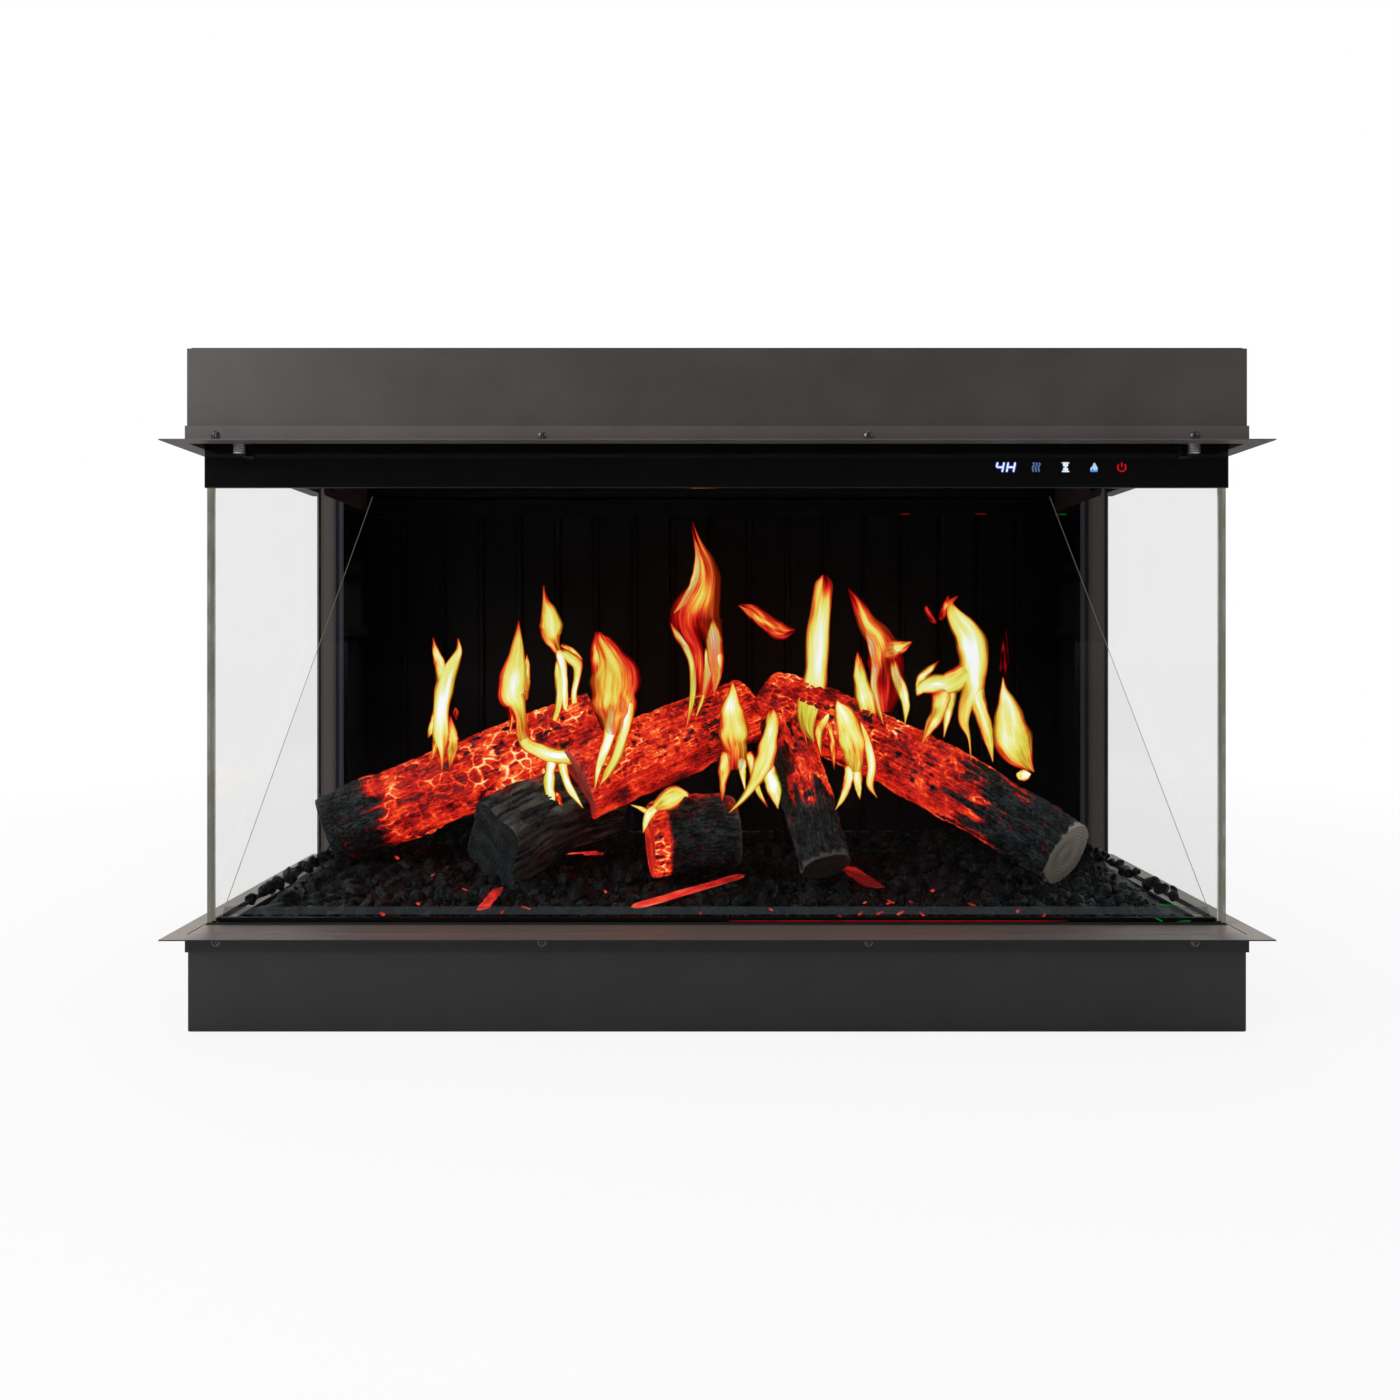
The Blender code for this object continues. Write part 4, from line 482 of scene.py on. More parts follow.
def bed_surface():
    """A height over a grid: the bed's top with ripples of 30 and 8 mm, its rim dropped to the
    bed's underside, and one flat face below."""
    columns, rows = 300, 150
    across, back = np.meshgrid(np.linspace(bed_low[0], bed_high[0], columns),
                               np.linspace(bed_low[1], bed_high[1], rows))
    flat = np.stack([across, back, np.zeros_like(across)], axis=-1)
    ripple = 2.5 * MM * mottle(flat, 0.03, 4) + 1.6 * MM * mottle(flat, 0.008, 5)
    height = bed_height(across, back) + ripple
    height = np.minimum(height, back + SHEET_OFFSET - SHEET_SPACE)
    top = np.stack([across, back, height], axis=-1)
    rim = np.concatenate([np.arange(columns), np.arange(2, rows) * columns - 1,
                          np.arange(rows * columns - 1, (rows - 1) * columns - 1, -1),
                          np.arange(rows - 2, 0, -1) * columns])
    points = top.reshape(-1, 3)
    foot = points[rim] * (1, 1, 0) + (0, 0, bed_low[2])
    index = np.arange(rows * columns).reshape(rows, columns)
    quads = np.stack([index[:-1, :-1], index[:-1, 1:], index[1:, 1:], index[1:, :-1]], axis=-1)
    under = rows * columns + np.arange(len(rim))
    walls = np.stack([rim, under, np.roll(under, -1), np.roll(rim, -1)], axis=-1)
    faces = quads.reshape(-1, 4).tolist() + walls.tolist() + [under[::-1].tolist()]
    return np.vstack([points, foot]), faces


def joined(parts):
    """One array of points and one list of faces from several pairs of them."""
    starts = np.cumsum([0] + [len(points) for points, faces in parts]).tolist()
    faces = [[corner + first for corner in face]
             for first, (points, own) in zip(starts, parts) for face in own]
    return np.vstack([points for points, own in parts]), faces


def unit_ball(rounds):
    """Points and faces of a ball of 20 triangles for one round, and of 80 for two."""
    ball = bmesh.new()
    bmesh.ops.create_icosphere(ball, subdivisions=rounds, radius=1.0)
    points = np.array([point.co for point in ball.verts])
    faces = np.array([[point.index for point in face.verts] for face in ball.faces])
    ball.free()
    return points, faces


def broken_lumps(centres, reaches, rounds, rng):
    """Balls cut by random planes: along each direction a lump reaches the nearest plane, so its
    distance from the middle is the least of plane offset over the cosine to the plane's normal."""
    ball, faces = unit_ball(rounds)
    count = len(centres)
    normals = rng.normal(size=(count, COAL_CUTS, 3))
    normals /= np.linalg.norm(normals, axis=-1, keepdims=True)
    offsets = rng.uniform(0.55, 0.95, (count, 1, COAL_CUTS))
    cosines = np.clip(np.einsum("vk,cpk->cvp", ball, normals), 0.001, 1)
    distance = np.minimum((offsets / cosines).min(axis=-1), 1)
    squash = rng.uniform((0.8, 0.6, 0.5), (1.0, 0.95, 0.8), (count, 3))
    turned = np.linalg.qr(rng.normal(size=(count, 3, 3)))[0]
    turned[:, 0] *= np.linalg.det(turned)[:, None]
    shapes = ball[None] * distance[..., None] * squash[:, None]
    shapes = np.einsum("cvk,ckj->cvj", shapes, turned) * reaches[:, None, None]
    points = (shapes + centres[:, None]).reshape(-1, 3)
    return points, (faces[None] + np.arange(count)[:, None, None] * len(ball)).reshape(-1, 3)


def scattered(pitch, reach, low, high, rng):
    """Middles and reaches of lumps: a square grid of that pitch, each point moved at random."""
    columns = int((high[0] - low[0]) / pitch)
    rows = int((high[1] - low[1]) / pitch)
    grid = np.stack(np.meshgrid(np.arange(columns), np.arange(rows)), axis=-1).reshape(-1, 2)
    spots = np.array(low) + (grid + 0.5 + rng.uniform(-0.42, 0.42, grid.shape)) * pitch
    reaches = reach * rng.uniform(0.6, 1.25, len(spots))
    heights = bed_height(spots[:, 0], spots[:, 1]) + reaches * rng.uniform(-0.1, 0.45, len(spots))
    heights = np.minimum(heights, spots[:, 1] + SHEET_OFFSET - SHEET_SPACE - reaches * 1.3)
    return np.column_stack([spots, heights]), reaches


def coal_resin():
    """Black resin: bluish patches on it, ripples of 2 mm that break its gloss, and pale blue-grey
    threads of painted glint where a slow noise passes its middle value."""
    material, start = new_finish("coal_resin")
    place = place_on(start)
    patch = place.cloud(110.0, 3.0, 0.6)
    fine = place.cloud(700.0, 3.0, 0.6)
    bluish_patch = (patch * fine).between(0.29, 0.42)
    bend = start.node("Math", {"operation": "ABSOLUTE"}, {0: place.cloud(150.0, 4.0, 0.6) - 0.5})
    painted_glint = (1 - bend.between(0.003, 0.012)) * place.cloud(45.0, 2.0).between(0.5, 0.62)
    black = bluish_patch.colours((0.0004, 0.0011, 0.0015), (0.004, 0.0135, 0.019))
    lay_on(start, {
        "Base Color": painted_glint.colours(black, (0.11, 0.16, 0.19)),
        "Roughness": fine * 0.4 + 0.2,
        "Specular IOR Level": 0.2,
        "Normal": (fine + patch).bumped(0.0014),
    })
    return material


rng = np.random.default_rng(7)
bed_margin = COAL_REACH * 1.3
coal_spots = scattered(COAL_PITCH, COAL_REACH, bed_low[:2] + bed_margin, bed_high[:2] - bed_margin, rng)
gravel_margin = GRAVEL_REACH * 1.3
gravel_spots = scattered(GRAVEL_PITCH, GRAVEL_REACH, bed_low[:2] + gravel_margin,
                         (bed_high[0] - gravel_margin, 0.0), rng)
rim_back = np.tile(np.arange(-0.222, 0.05, 0.0155), 2) + rng.uniform(-0.009, 0.009, 2 * RIM_COALS)
rim_across = np.repeat((-1, 1), RIM_COALS) * rng.uniform(0.490, 0.499, 2 * RIM_COALS)
rim_reach = rng.uniform(5.0, 12.0, 2 * RIM_COALS) * MM
rim_sunk = rim_reach * rng.uniform(0.7, 1.2, 2 * RIM_COALS)
rim_height = np.minimum(RIM_TOP, rim_back + SHEET_OFFSET - SHEET_SPACE) - rim_sunk
rim_spots = np.column_stack([rim_across, rim_back, rim_height]), rim_reach
parts = [bed_surface()]
for (spots, reaches), rounds in ((coal_spots, 2), (gravel_spots, 1), (rim_spots, 2)):
    points, faces = broken_lumps(spots, reaches, rounds, rng)
    parts.append((points, faces.tolist()))
coals = new_piece("coals", *joined(parts), coal_resin(), False)
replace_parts(coals, "coal_bed")


# The logs: six cast resin logs, charred black, with cracked blocks of char along them. Red light
# comes through the thin resin over most of each log, yellow in the cracks, and not at cut ends.

LOG_STEP = 1.15 * MM
BARK_RELIEF = 1.2 * MM
CRACK_DEPTH = 2.4 * MM
CAP_SHARES = np.linspace(0.08, 0.97, 16)
UP = np.array([0.0, 0.0, 1.0])


def char_blocks(along, around, count, seed):
    """Blocks of char: one random centre in each unit cell, in a grid that closes after count
    cells round the log. Gives how much nearer the nearest centre is than the next one, which is
    0 on a crack, and a random tone for each block."""
    cell = np.stack([np.floor(along), np.floor(around)]).astype(np.int64)
    nearest = np.full(along.shape, 9.0)
    second = np.full(along.shape, 9.0)
    tone = np.zeros(along.shape)
    for shift in np.ndindex(3, 3):
        corner = cell + np.array(shift)[:, None, None] - 1
        key = corner[0] * 374761393 + (corner[1] % count) * 668265263 + seed * 974634777
        key = key & 0xFFFFFFFF
        key = ((key ^ (key >> 13)) * 1274126177) & 0xFFFFFFFF
        first_share = (key & 0xFF) / 255
        second_share = ((key >> 8) & 0xFF) / 255
        distance = np.hypot(corner[0] + 0.1 + 0.8 * first_share - along,
                            corner[1] + 0.1 + 0.8 * second_share - around)
        closer = distance < nearest
        second = np.where(closer, nearest, np.minimum(second, distance))
        tone = np.where(closer, ((key >> 16) & 0xFF) / 255, tone)
        nearest = np.where(closer, distance, nearest)
    return second - nearest, tone


def attribute(mesh, name, kind, values):
    """Stores values on the mesh's points, for its finish to read."""
    store = mesh.attributes.new(name, kind, "POINT")
    store.data.foreach_set("vector" if kind == "FLOAT_VECTOR" else "value", np.ravel(values))


def with_poles(values):
    """Values of a grid of points in a row, with those of its two end rings for the two poles."""
    return np.concatenate([values.ravel(), values[0, :1], values[-1, :1]])


def charred_log(name, node, start, end, thick, square, roll, bend, block, hot, facing, worms,
                flecks, strands, fray, smoke, ends, slant, seed):
    """A tube round a bent axis. Its radius is that of a round or squared log, with slow swells,
    less the cracks between char blocks, plus long ridges of bark. Both ends are flat cuts.

    Heat is about 0.46 where the log glows, and 0 on char but for a little smoke in its cracks. Worms
    add to it in the cracks, flecks take from it in specks, and strands turn its underside to long
    streaks. The glow lies between the two shares hot of the length, with a border frayed that far,
    on the sides that facing points to. Ends gives each cut end's pale share and its heat, and slant
    how far each end leans from a square cut, as a share of the distance from the axis. A squared
    log has pale fibres along its sides."""
    start, end = np.array(start), np.array(end)
    length = np.linalg.norm(end - start)
    axis = (end - start) / length
    lift = UP - axis * (axis @ UP)
    lift /= np.linalg.norm(lift)
    side = np.cross(axis, lift)
    around = int(2 * math.pi * max(thick) / LOG_STEP)
    straight = int(length / LOG_STEP)
    place = np.concatenate([np.zeros(len(CAP_SHARES)), np.linspace(0, 1, straight),
                            np.ones(len(CAP_SHARES))])
    shrink = np.concatenate([CAP_SHARES, np.ones(straight), CAP_SHARES[::-1]])
    place = place[:, None] * np.ones(around)
    shrink = shrink[:, None] * np.ones(around)
    angle = np.ones(len(place))[:, None] * np.linspace(0, 2 * math.pi, around, endpoint=False)
    power = 2 + 7 * square
    turned = angle + roll
    outline = (np.abs(np.cos(turned)) ** power + np.abs(np.sin(turned)) ** power) ** (-1 / power)
    mean = thick[0] + (thick[1] - thick[0]) * place
    grain = np.stack([place * length, np.cos(angle) * mean, np.sin(angle) * mean], axis=-1)
    swell = 0.07 * mottle(grain, 0.055, seed) + 0.035 * mottle(grain, 0.021, seed + 1)
    rounds = int(2 * math.pi * max(thick) / block[1])
    drift = 0.55 * mottle(grain, 0.02, seed + 2)
    edge, tone = char_blocks(grain[..., 0] / block[0] + drift,
                             angle / (2 * math.pi) * rounds + 0.5 * mottle(grain, 0.014, seed + 3),
                             rounds, seed)
    crack = np.clip(1 - edge / 0.26, 0, 1)
    ridge = mottle(grain * (0.14, 1, 1), 0.0042, seed + 4)
    ridge = ridge + 0.6 * mottle(grain * (0.2, 1, 1), 0.0026, seed + 5)
    flake = mottle(grain, 0.006, seed + 6)
    relief = BARK_RELIEF * (0.6 * ridge + 0.6 * flake + 1.1 * (tone - 0.5))
    relief = relief - CRACK_DEPTH * crack ** 1.4
    rim = np.minimum(place, 1 - place) * length
    burnt = np.exp(-rim / (3 * MM))
    radius = mean * outline * (1 + swell) - 1.8 * MM * burnt + relief * (1 - 0.4 * burnt)
    radius *= shrink
    dish = (1 - shrink) * 2.5 * MM + 0.5 * MM * np.sin(shrink * mean / MM * 1.3) * (shrink < 1)
    lean = np.where(place < 0.5, slant[0], -slant[1]) * np.sin(angle) * np.exp(-rim / (12 * MM))
    along = axis * (place * length + np.where(place < 0.5, 1, -1) * dish + lean * radius)[..., None]
    arch = UP * (bend * 4 * place * (1 - place))[..., None]
    outward = np.cos(angle)[..., None] * lift + np.sin(angle)[..., None] * side
    points, faces = closed_tube(start + along + arch + outward * radius[..., None])
    piece = new_piece(name, points, faces, char_finish)

    streaky = mottle(grain * (0.07, 1, 1), 0.005, seed + 8)
    ragged = 0.06 * mottle(grain, 0.03, seed + 7) + fray * streaky
    lengthways = np.minimum(place + ragged - hot[0], hot[1] - place - ragged) / 0.07
    lit = facing[3] + outward @ np.array(facing[:3]) + 0.5 * mottle(grain, 0.02, seed + 9)
    glow = np.clip(lengthways + 0.5, 0, 1) * np.clip(lit * 1.3, 0, 1)
    near_start = np.maximum((place < 0.5) * (ends[1] > 0.4) * (0.22 - place), 0)
    wrap = np.clip(near_start * 18 + ragged * 3, 0, 1)
    glow = np.maximum(glow, wrap * (place < 0.3))
    broken = np.clip(0.55 + 1.3 * mottle(grain, 0.014, seed + 10), 0, 1)
    clusters = np.clip(0.4 + 1.4 * mottle(grain, 0.035, seed + 11), 0, 1)
    fleck = np.clip(mottle(grain * (0.6, 1, 1), 0.0055, seed + 12) * 4 - 1.1, 0, 1) * clusters
    slow = mottle(grain, 0.04, seed + 13)
    level = 0.48 + 0.11 * slow + 0.1 * ridge + 0.08 * flake + 0.16 * (tone - 0.5)
    level += worms * crack ** 1.3 * broken * (0.75 + 0.5 * slow) - flecks * fleck
    fine = mottle(grain * (0.06, 1, 1), 0.0034, seed + 14)
    streak = 0.54 + 0.1 * fine + 0.16 * np.clip(fine * 2 - 0.9, 0, 1)
    under = np.clip(0.5 - outward @ np.array((0.0, -0.25, 1.0)) * 4 + 0.6 * slow, 0, 1) * strands
    level = level * (1 - under) + streak * under
    sparse = np.clip(mottle(grain, 0.011, seed + 15) * 3 - 0.9, 0, 1)
    smoulder = 0.42 * (crack ** 2 + 0.6 * np.clip(ridge - 0.5, 0, 1)) * sparse * smoke
    cut = (shrink < 1) * 1.0
    chipped = np.clip(1.3 - rim / (5 * MM) + mottle(grain, 0.005, seed + 17), 0, 1)
    spokes = 0.06 * mottle(grain * (1, 1, 0.2), 0.004, seed + 16)
    end_heat = np.where(place < 0.5, ends[1], ends[3])
    end_heat = end_heat + (spokes + 0.12 * shrink ** 6) * (end_heat > 0)
    heat = level * glow + smoulder * (1 - glow)
    heat = heat * (1 - cut) + end_heat * cut
    inward = grain * np.stack([np.ones_like(shrink), shrink, shrink], axis=-1)
    poles = [[0, 0, 0], [length, 0, 0]]
    attribute(piece.data, "grain", "FLOAT_VECTOR", np.vstack([inward.reshape(-1, 3), poles]))
    attribute(piece.data, "ember", "FLOAT", with_poles(heat))
    sawn = np.clip(0.35 + 1.3 * mottle(grain * (0.1, 1, 1), 0.004, seed + 18), 0, 1)
    sawn_side = 0.3 * square * sawn * (1 - cut)
    sawn_end = np.where(place < 0.5, ends[0], ends[2]) * np.maximum(cut, chipped)
    pale = np.maximum(sawn_end, sawn_side)
    attribute(piece.data, "cut", "FLOAT", with_poles(pale))
    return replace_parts(piece, node)


def char_wood():
    """Char with embers: black fibres, paler cut ends with rings, and heat coloured from black
    through red and orange to pale yellow. Noise of 2 mm breaks the heat up."""
    material, start = new_finish("charred_wood")
    grain = start.node("Attribute", {"attribute_name": "grain"}, {}, "Vector")
    ember = start.node("Attribute", {"attribute_name": "ember"}, {}, "Fac")
    cut = start.node("Attribute", {"attribute_name": "cut"}, {}, "Fac")
    fibre = grain.stretched((50.0, 620.0, 620.0)).cloud(1.0, 3.0, 0.6)
    flake = grain.stretched((200.0, 380.0, 380.0)).cloud(1.0, 4.0, 0.7)
    patch = grain.cloud(34.0, 3.0, 0.6)
    uneven = (fibre - 0.5) * 0.7 + (flake - 0.5) * 0.8 + (patch - 0.53) * 0.8
    heat = ember + ember.between(0.2, 0.45) * uneven
    colour = heat.node("ValToRGB", {"stops": (
        (0.0, (0.0, 0.0, 0.0)), (0.12, (0.006, 0.0, 0.0)), (0.24, (0.07, 0.001, 0.001)),
        (0.36, (0.3, 0.004, 0.003)), (0.48, (0.6, 0.012, 0.006)), (0.6, (0.86, 0.035, 0.01)),
        (0.72, (0.97, 0.12, 0.02)), (0.85, (1.0, 0.4, 0.09)), (1.0, (1.0, 0.82, 0.42)))}, {"Fac": heat})
    across = grain.stretched((0.0, 1.0, 1.0))
    ring = start.node("VectorMath", {"operation": "LENGTH"}, {0: across}, "Value") * 1500.0
    rings = start.node("Math", {"operation": "SINE"}, {0: ring}) * 0.25 + 0.5
    sawn = (rings + flake * 0.6).between(0.4, 1.1).colours((0.36, 0.32, 0.26), (0.85, 0.76, 0.63))
    # The char goes from black to blue-grey in patches of fibre and flake noise.
    blue_grey_patch = (fibre * 0.5 + flake * 0.6 + grain.cloud(60.0, 2.0) * 0.3).between(0.66, 0.84)
    bark = blue_grey_patch.colours((0.001, 0.0014, 0.0018), (0.06, 0.082, 0.09))
    lay_on(start, {
        "Base Color": cut.colours(ember.between(0.2, 0.5).colours(bark, (0.004, 0.0, 0.0)), sawn),
        "Roughness": flake * 0.4 + 0.42,
        "Specular IOR Level": 0.25,
        "Emission Color": colour,
        "Emission Strength": 1.0,
        "Normal": (fibre + flake * 0.8).bumped(0.003),
    })
    return material


char_finish = char_wood()
charred_log("log_back_left", "log_rear_left", (-0.4955, 0.0017, 0.1468), (-0.151, 0.0535, 0.2758),
            (0.046, 0.049), 0.0, 0.0, 0.0, (0.015, 0.013), (0.2, 1.3), (0.0, -0.5, 0.3, 0.9),
            0.6, 0.5, 0.2, 0.05, 0.8, (0.03, 0.0, 0.05, 0.0), (0.15, 0.0), 11)
charred_log("log_middle", "log_centre", (-0.1678, -0.0284, 0.2099), (0.048, 0.0595, 0.298),
            (0.049, 0.045), 0.0, 0.0, 0.003, (0.009, 0.008), (-0.3, 1.3), (0.0, 0.0, 0.5, 1.0),
            0.34, 0.4, 1.0, 0.03, 0.8, (0.06, 0.3, 0.0, 0.4), (0.0, 0.0), 23)
charred_log("log_back_right", "log_rear_right", (0.0699, 0.0535, 0.3144), (0.4233, -0.0877, 0.1342),
            (0.041, 0.042), 0.0, 0.0, 0.0145, (0.011, 0.008), (-0.3, 0.74), (0.0, -0.3, 0.5, 1.05),
            0.6, 0.5, 0.6, 0.13, 1.0, (0.0, 0.35, 1.0, 0.0), (0.0, 0.45), 37)
charred_log("log_leaning", "log_front_right", (0.1326, -0.0987, 0.1219), (0.0887, 0.0294, 0.2838),
            (0.031, 0.028), 0.05, 0.0, 0.010, (0.012, 0.008), (0.36, 1.3), (0.6, -0.3, 0.3, 0.45),
            0.35, 0.6, 0.2, 0.1, 1.0, (0.2, 0.0, 0.0, 0.3), (0.0, 0.0), 41)
charred_log("log_short", "log_small_front", (-0.077, -0.0877, 0.1517), (0.0255, -0.0686, 0.1568),
            (0.045, 0.043), 0.0, 0.0, 0.005, (0.012, 0.009), (-0.3, 1.3), (-0.35, 0.4, 0.9, -0.2),
            0.45, 0.3, 0.0, 0.03, 0.9, (0.0, 0.46, 0.1, 0.0), (0.0, 0.0), 53)
charred_log("log_squared", "log_front_left", (-0.2667, -0.0812, 0.1438), (-0.1397, 0.0535, 0.1743),
            (0.046, 0.036), 0.7, -0.5, 0.010, (0.060, 0.010), (0.1, 1.3), (-0.4, 0.6, 0.9, -0.65),
            0.2, 0.3, 0.0, 0.05, 0.05, (0.0, 0.0, 0.0, 0.0), (0.0, 0.0), 67)


# Splinters of red resin lie among the coals in front. The lamp boards light them from below.

SPLINTER_THICK = 1.6 * MM


def splinter(start, end, half, lean, warmth, seed):
    """A flat strip with rounded corners between two places on the bed, its edges ragged by noise
    of 6 mm. Lean tips it along its width."""
    start, end = np.array(start), np.array(end)
    ahead = (end - start) / np.linalg.norm(end - start)
    across = np.cross(ahead, UP) + UP * lean
    across /= np.linalg.norm(across)
    above = np.cross(across, ahead)
    share = np.linspace(0, 1, 28)[:, None]
    angle = np.linspace(0, 2 * math.pi, 16, endpoint=False)
    wide = np.sign(np.cos(angle)) * np.abs(np.cos(angle)) ** 0.5
    thick = np.sign(np.sin(angle)) * np.abs(np.sin(angle)) ** 0.5
    flat = np.stack([share * np.ones(16) * 0.06, wide * np.ones((28, 1)) * 0.01,
                     np.full((28, 16), 0.001)], axis=-1)
    ragged = 1 + 0.22 * mottle(flat, 0.006, seed)
    taper = np.clip(np.minimum(share, 1 - share) * 14 + 0.35, 0, 1)
    rings = (start + (end - start) * share[..., None]
             + across * (wide * half * ragged * taper)[..., None]
             + above * (thick * SPLINTER_THICK / 2 * taper)[..., None])
    points, faces = closed_tube(rings)
    heat = warmth * (1.1 - 0.5 * share) + 0.22 * mottle(flat * (1, 3, 1), 0.005, seed + 1)
    return points, faces, with_poles(heat)


def red_resin():
    """Clear red resin, lit from behind: dark red where thick, orange where it is thin."""
    material, start = new_finish("red_resin")
    ember = start.node("Attribute", {"attribute_name": "ember"}, {}, "Fac")
    place = place_on(start)
    level = ember + (place.cloud(500.0, 3.0) - 0.5) * 0.3
    lay_on(start, {
        "Base Color": (0.01, 0.0005, 0.0005, 1),
        "Roughness": place.cloud(300.0) * 0.3 + 0.3,
        "Emission Color": start.node("ValToRGB", {"stops": (
            (0.0, (0.01, 0.0, 0.0)), (0.3, (0.12, 0.002, 0.002)), (0.5, (0.45, 0.01, 0.008)),
            (0.7, (0.8, 0.03, 0.02)), (1.0, (1.0, 0.2, 0.08)))}, {"Fac": level}),
        "Emission Strength": 1.0,
    })
    return material


LONG_SPLINTERS = (
    ((-0.249, -0.228, 0.1050), (-0.246, -0.150, 0.1100), 0.0072, 0.2, 0.66),
    ((-0.089, -0.2225, 0.1060), (0.034, -0.0995, 0.1130), 0.0072, -0.1, 0.74),
    ((0.161, -0.060, 0.1150), (0.184, -0.150, 0.1100), 0.0130, 0.1, 0.36),
    ((-0.186, -0.001, 0.1180), (-0.150, 0.012, 0.1180), 0.0060, 0.3, 0.7),
    ((-0.165, -0.012, 0.1200), (-0.140, -0.006, 0.1190), 0.0045, 0.5, 0.6),
)
EMBER_SPOTS = (
    (-0.414, 0.029), (-0.346, -0.052), (-0.325, -0.083), (-0.331, -0.177), (-0.358, -0.219),
    (-0.231, -0.211), (-0.208, -0.194), (-0.121, -0.215), (-0.016, -0.215), (0.132, -0.230),
    (0.171, -0.168), (0.197, -0.168), (0.157, -0.215), (0.177, -0.215), (0.199, -0.215),
    (0.221, -0.219), (0.285, -0.181), (0.328, -0.207), (0.351, -0.223), (0.195, -0.173),
    (0.221, -0.173), (-0.156, -0.124), (-0.127, -0.124), (-0.266, -0.147), (-0.017, -0.161),
    (-0.084, -0.173), (0.06, -0.2), (0.255, -0.12), (0.31, -0.15), (-0.29, -0.12),
)
splinters = [splinter(*row, seed) for seed, row in enumerate(LONG_SPLINTERS)]
for seed, (across, back) in enumerate(EMBER_SPOTS):
    turn = rng.uniform(0, math.pi)
    reach = rng.uniform(2.0, 5.5) * MM
    low = bed_height(across, back) + 6.5 * MM
    low = min(low, back + SHEET_OFFSET - 2 * SHEET_SPACE)
    ahead = np.array([math.cos(turn), math.sin(turn), 0.3]) * reach
    middle = np.array([across, back, low])
    splinters.append(splinter(middle - ahead, middle + ahead, rng.uniform(1.0, 1.9) * MM,
                              rng.uniform(-0.5, 0.5), rng.uniform(0.45, 0.85), seed + 9))
embers = new_piece("ember_splinters", *joined([row[:2] for row in splinters]), red_resin())
attribute(embers.data, "ember", "FLOAT", np.concatenate([heat for points, faces, heat in splinters]))

REFLECTIONS = (
    ("red_reflections", (0.42, 0.006, 0.006), (
        ((0.013, -0.2547, 0.1002), (0.365, -0.2547, 0.1002), 0.45 * MM),
        ((0.191, -0.2553, 0.5233), (0.201, -0.2553, 0.5233), 0.5 * MM),
        ((0.268, -0.2553, 0.5233), (0.280, -0.2553, 0.5233), 0.5 * MM))),
    ("green_reflections", (0.003, 0.2, 0.02), (
        ((0.200, -0.2547, 0.0988), (0.425, -0.2547, 0.0988), 0.3 * MM),
        ((0.355, -0.2553, 0.5230), (0.364, -0.2553, 0.5230), 0.5 * MM),
        ((0.459, -0.2553, 0.1170), (0.483, -0.2553, 0.1163), 0.7 * MM),
        ((0.456, -0.2553, 0.1040), (0.464, -0.2553, 0.0998), 0.9 * MM),
        ((0.479, -0.2553, 0.0996), (0.493, -0.2553, 0.1006), 0.8 * MM))),
)


def glint_light(name, colour):
    """A reflection's light: its colour alone, uneven along it, and clear where it is weak."""
    material, start = new_finish(name)
    place = place_on(start)
    weak = place.stretched((40.0, 1.0, 1.0)).cloud(1.0, 3.0)
    lay_on(start, {
        "Base Color": (0.0, 0.0, 0.0, 1),
        "Roughness": 1.0,
        "Specular IOR Level": 0.0,
        "Emission Color": weak.colours(shaded(colour, 0.6), colour),
        "Emission Strength": 1.0,
        "Alpha": weak.between(0.25, 0.6),
    })
    return material


def glints(name, colour, lines):
    """Thin round-ended threads of light along the glass: painted reflections of small lamps at its
    edges.
    """
    angle = np.linspace(0, 2 * math.pi, 8, endpoint=False)
    share = np.linspace(0, 1, 40)[:, None, None]
    swell = np.sin(math.pi * np.linspace(0.02, 0.98, 40))[:, None, None] ** 0.3
    ring = np.stack([np.zeros(8), 0.15 * np.cos(angle), np.sin(angle)], axis=-1)
    threads = [closed_tube(np.array(first) * (1 - share) + np.array(last) * share + ring * half * swell)
               for first, last, half in lines]
    new_piece(name, *joined(threads), glint_light(name, colour))


for row in REFLECTIONS:
    glints(*row)


# The three panes are 6 mm toughened glass with ground and polished edges, in the head frame and
# on the seal. The clear sheet stands at 45 degrees between its rails and mirrors the screen.

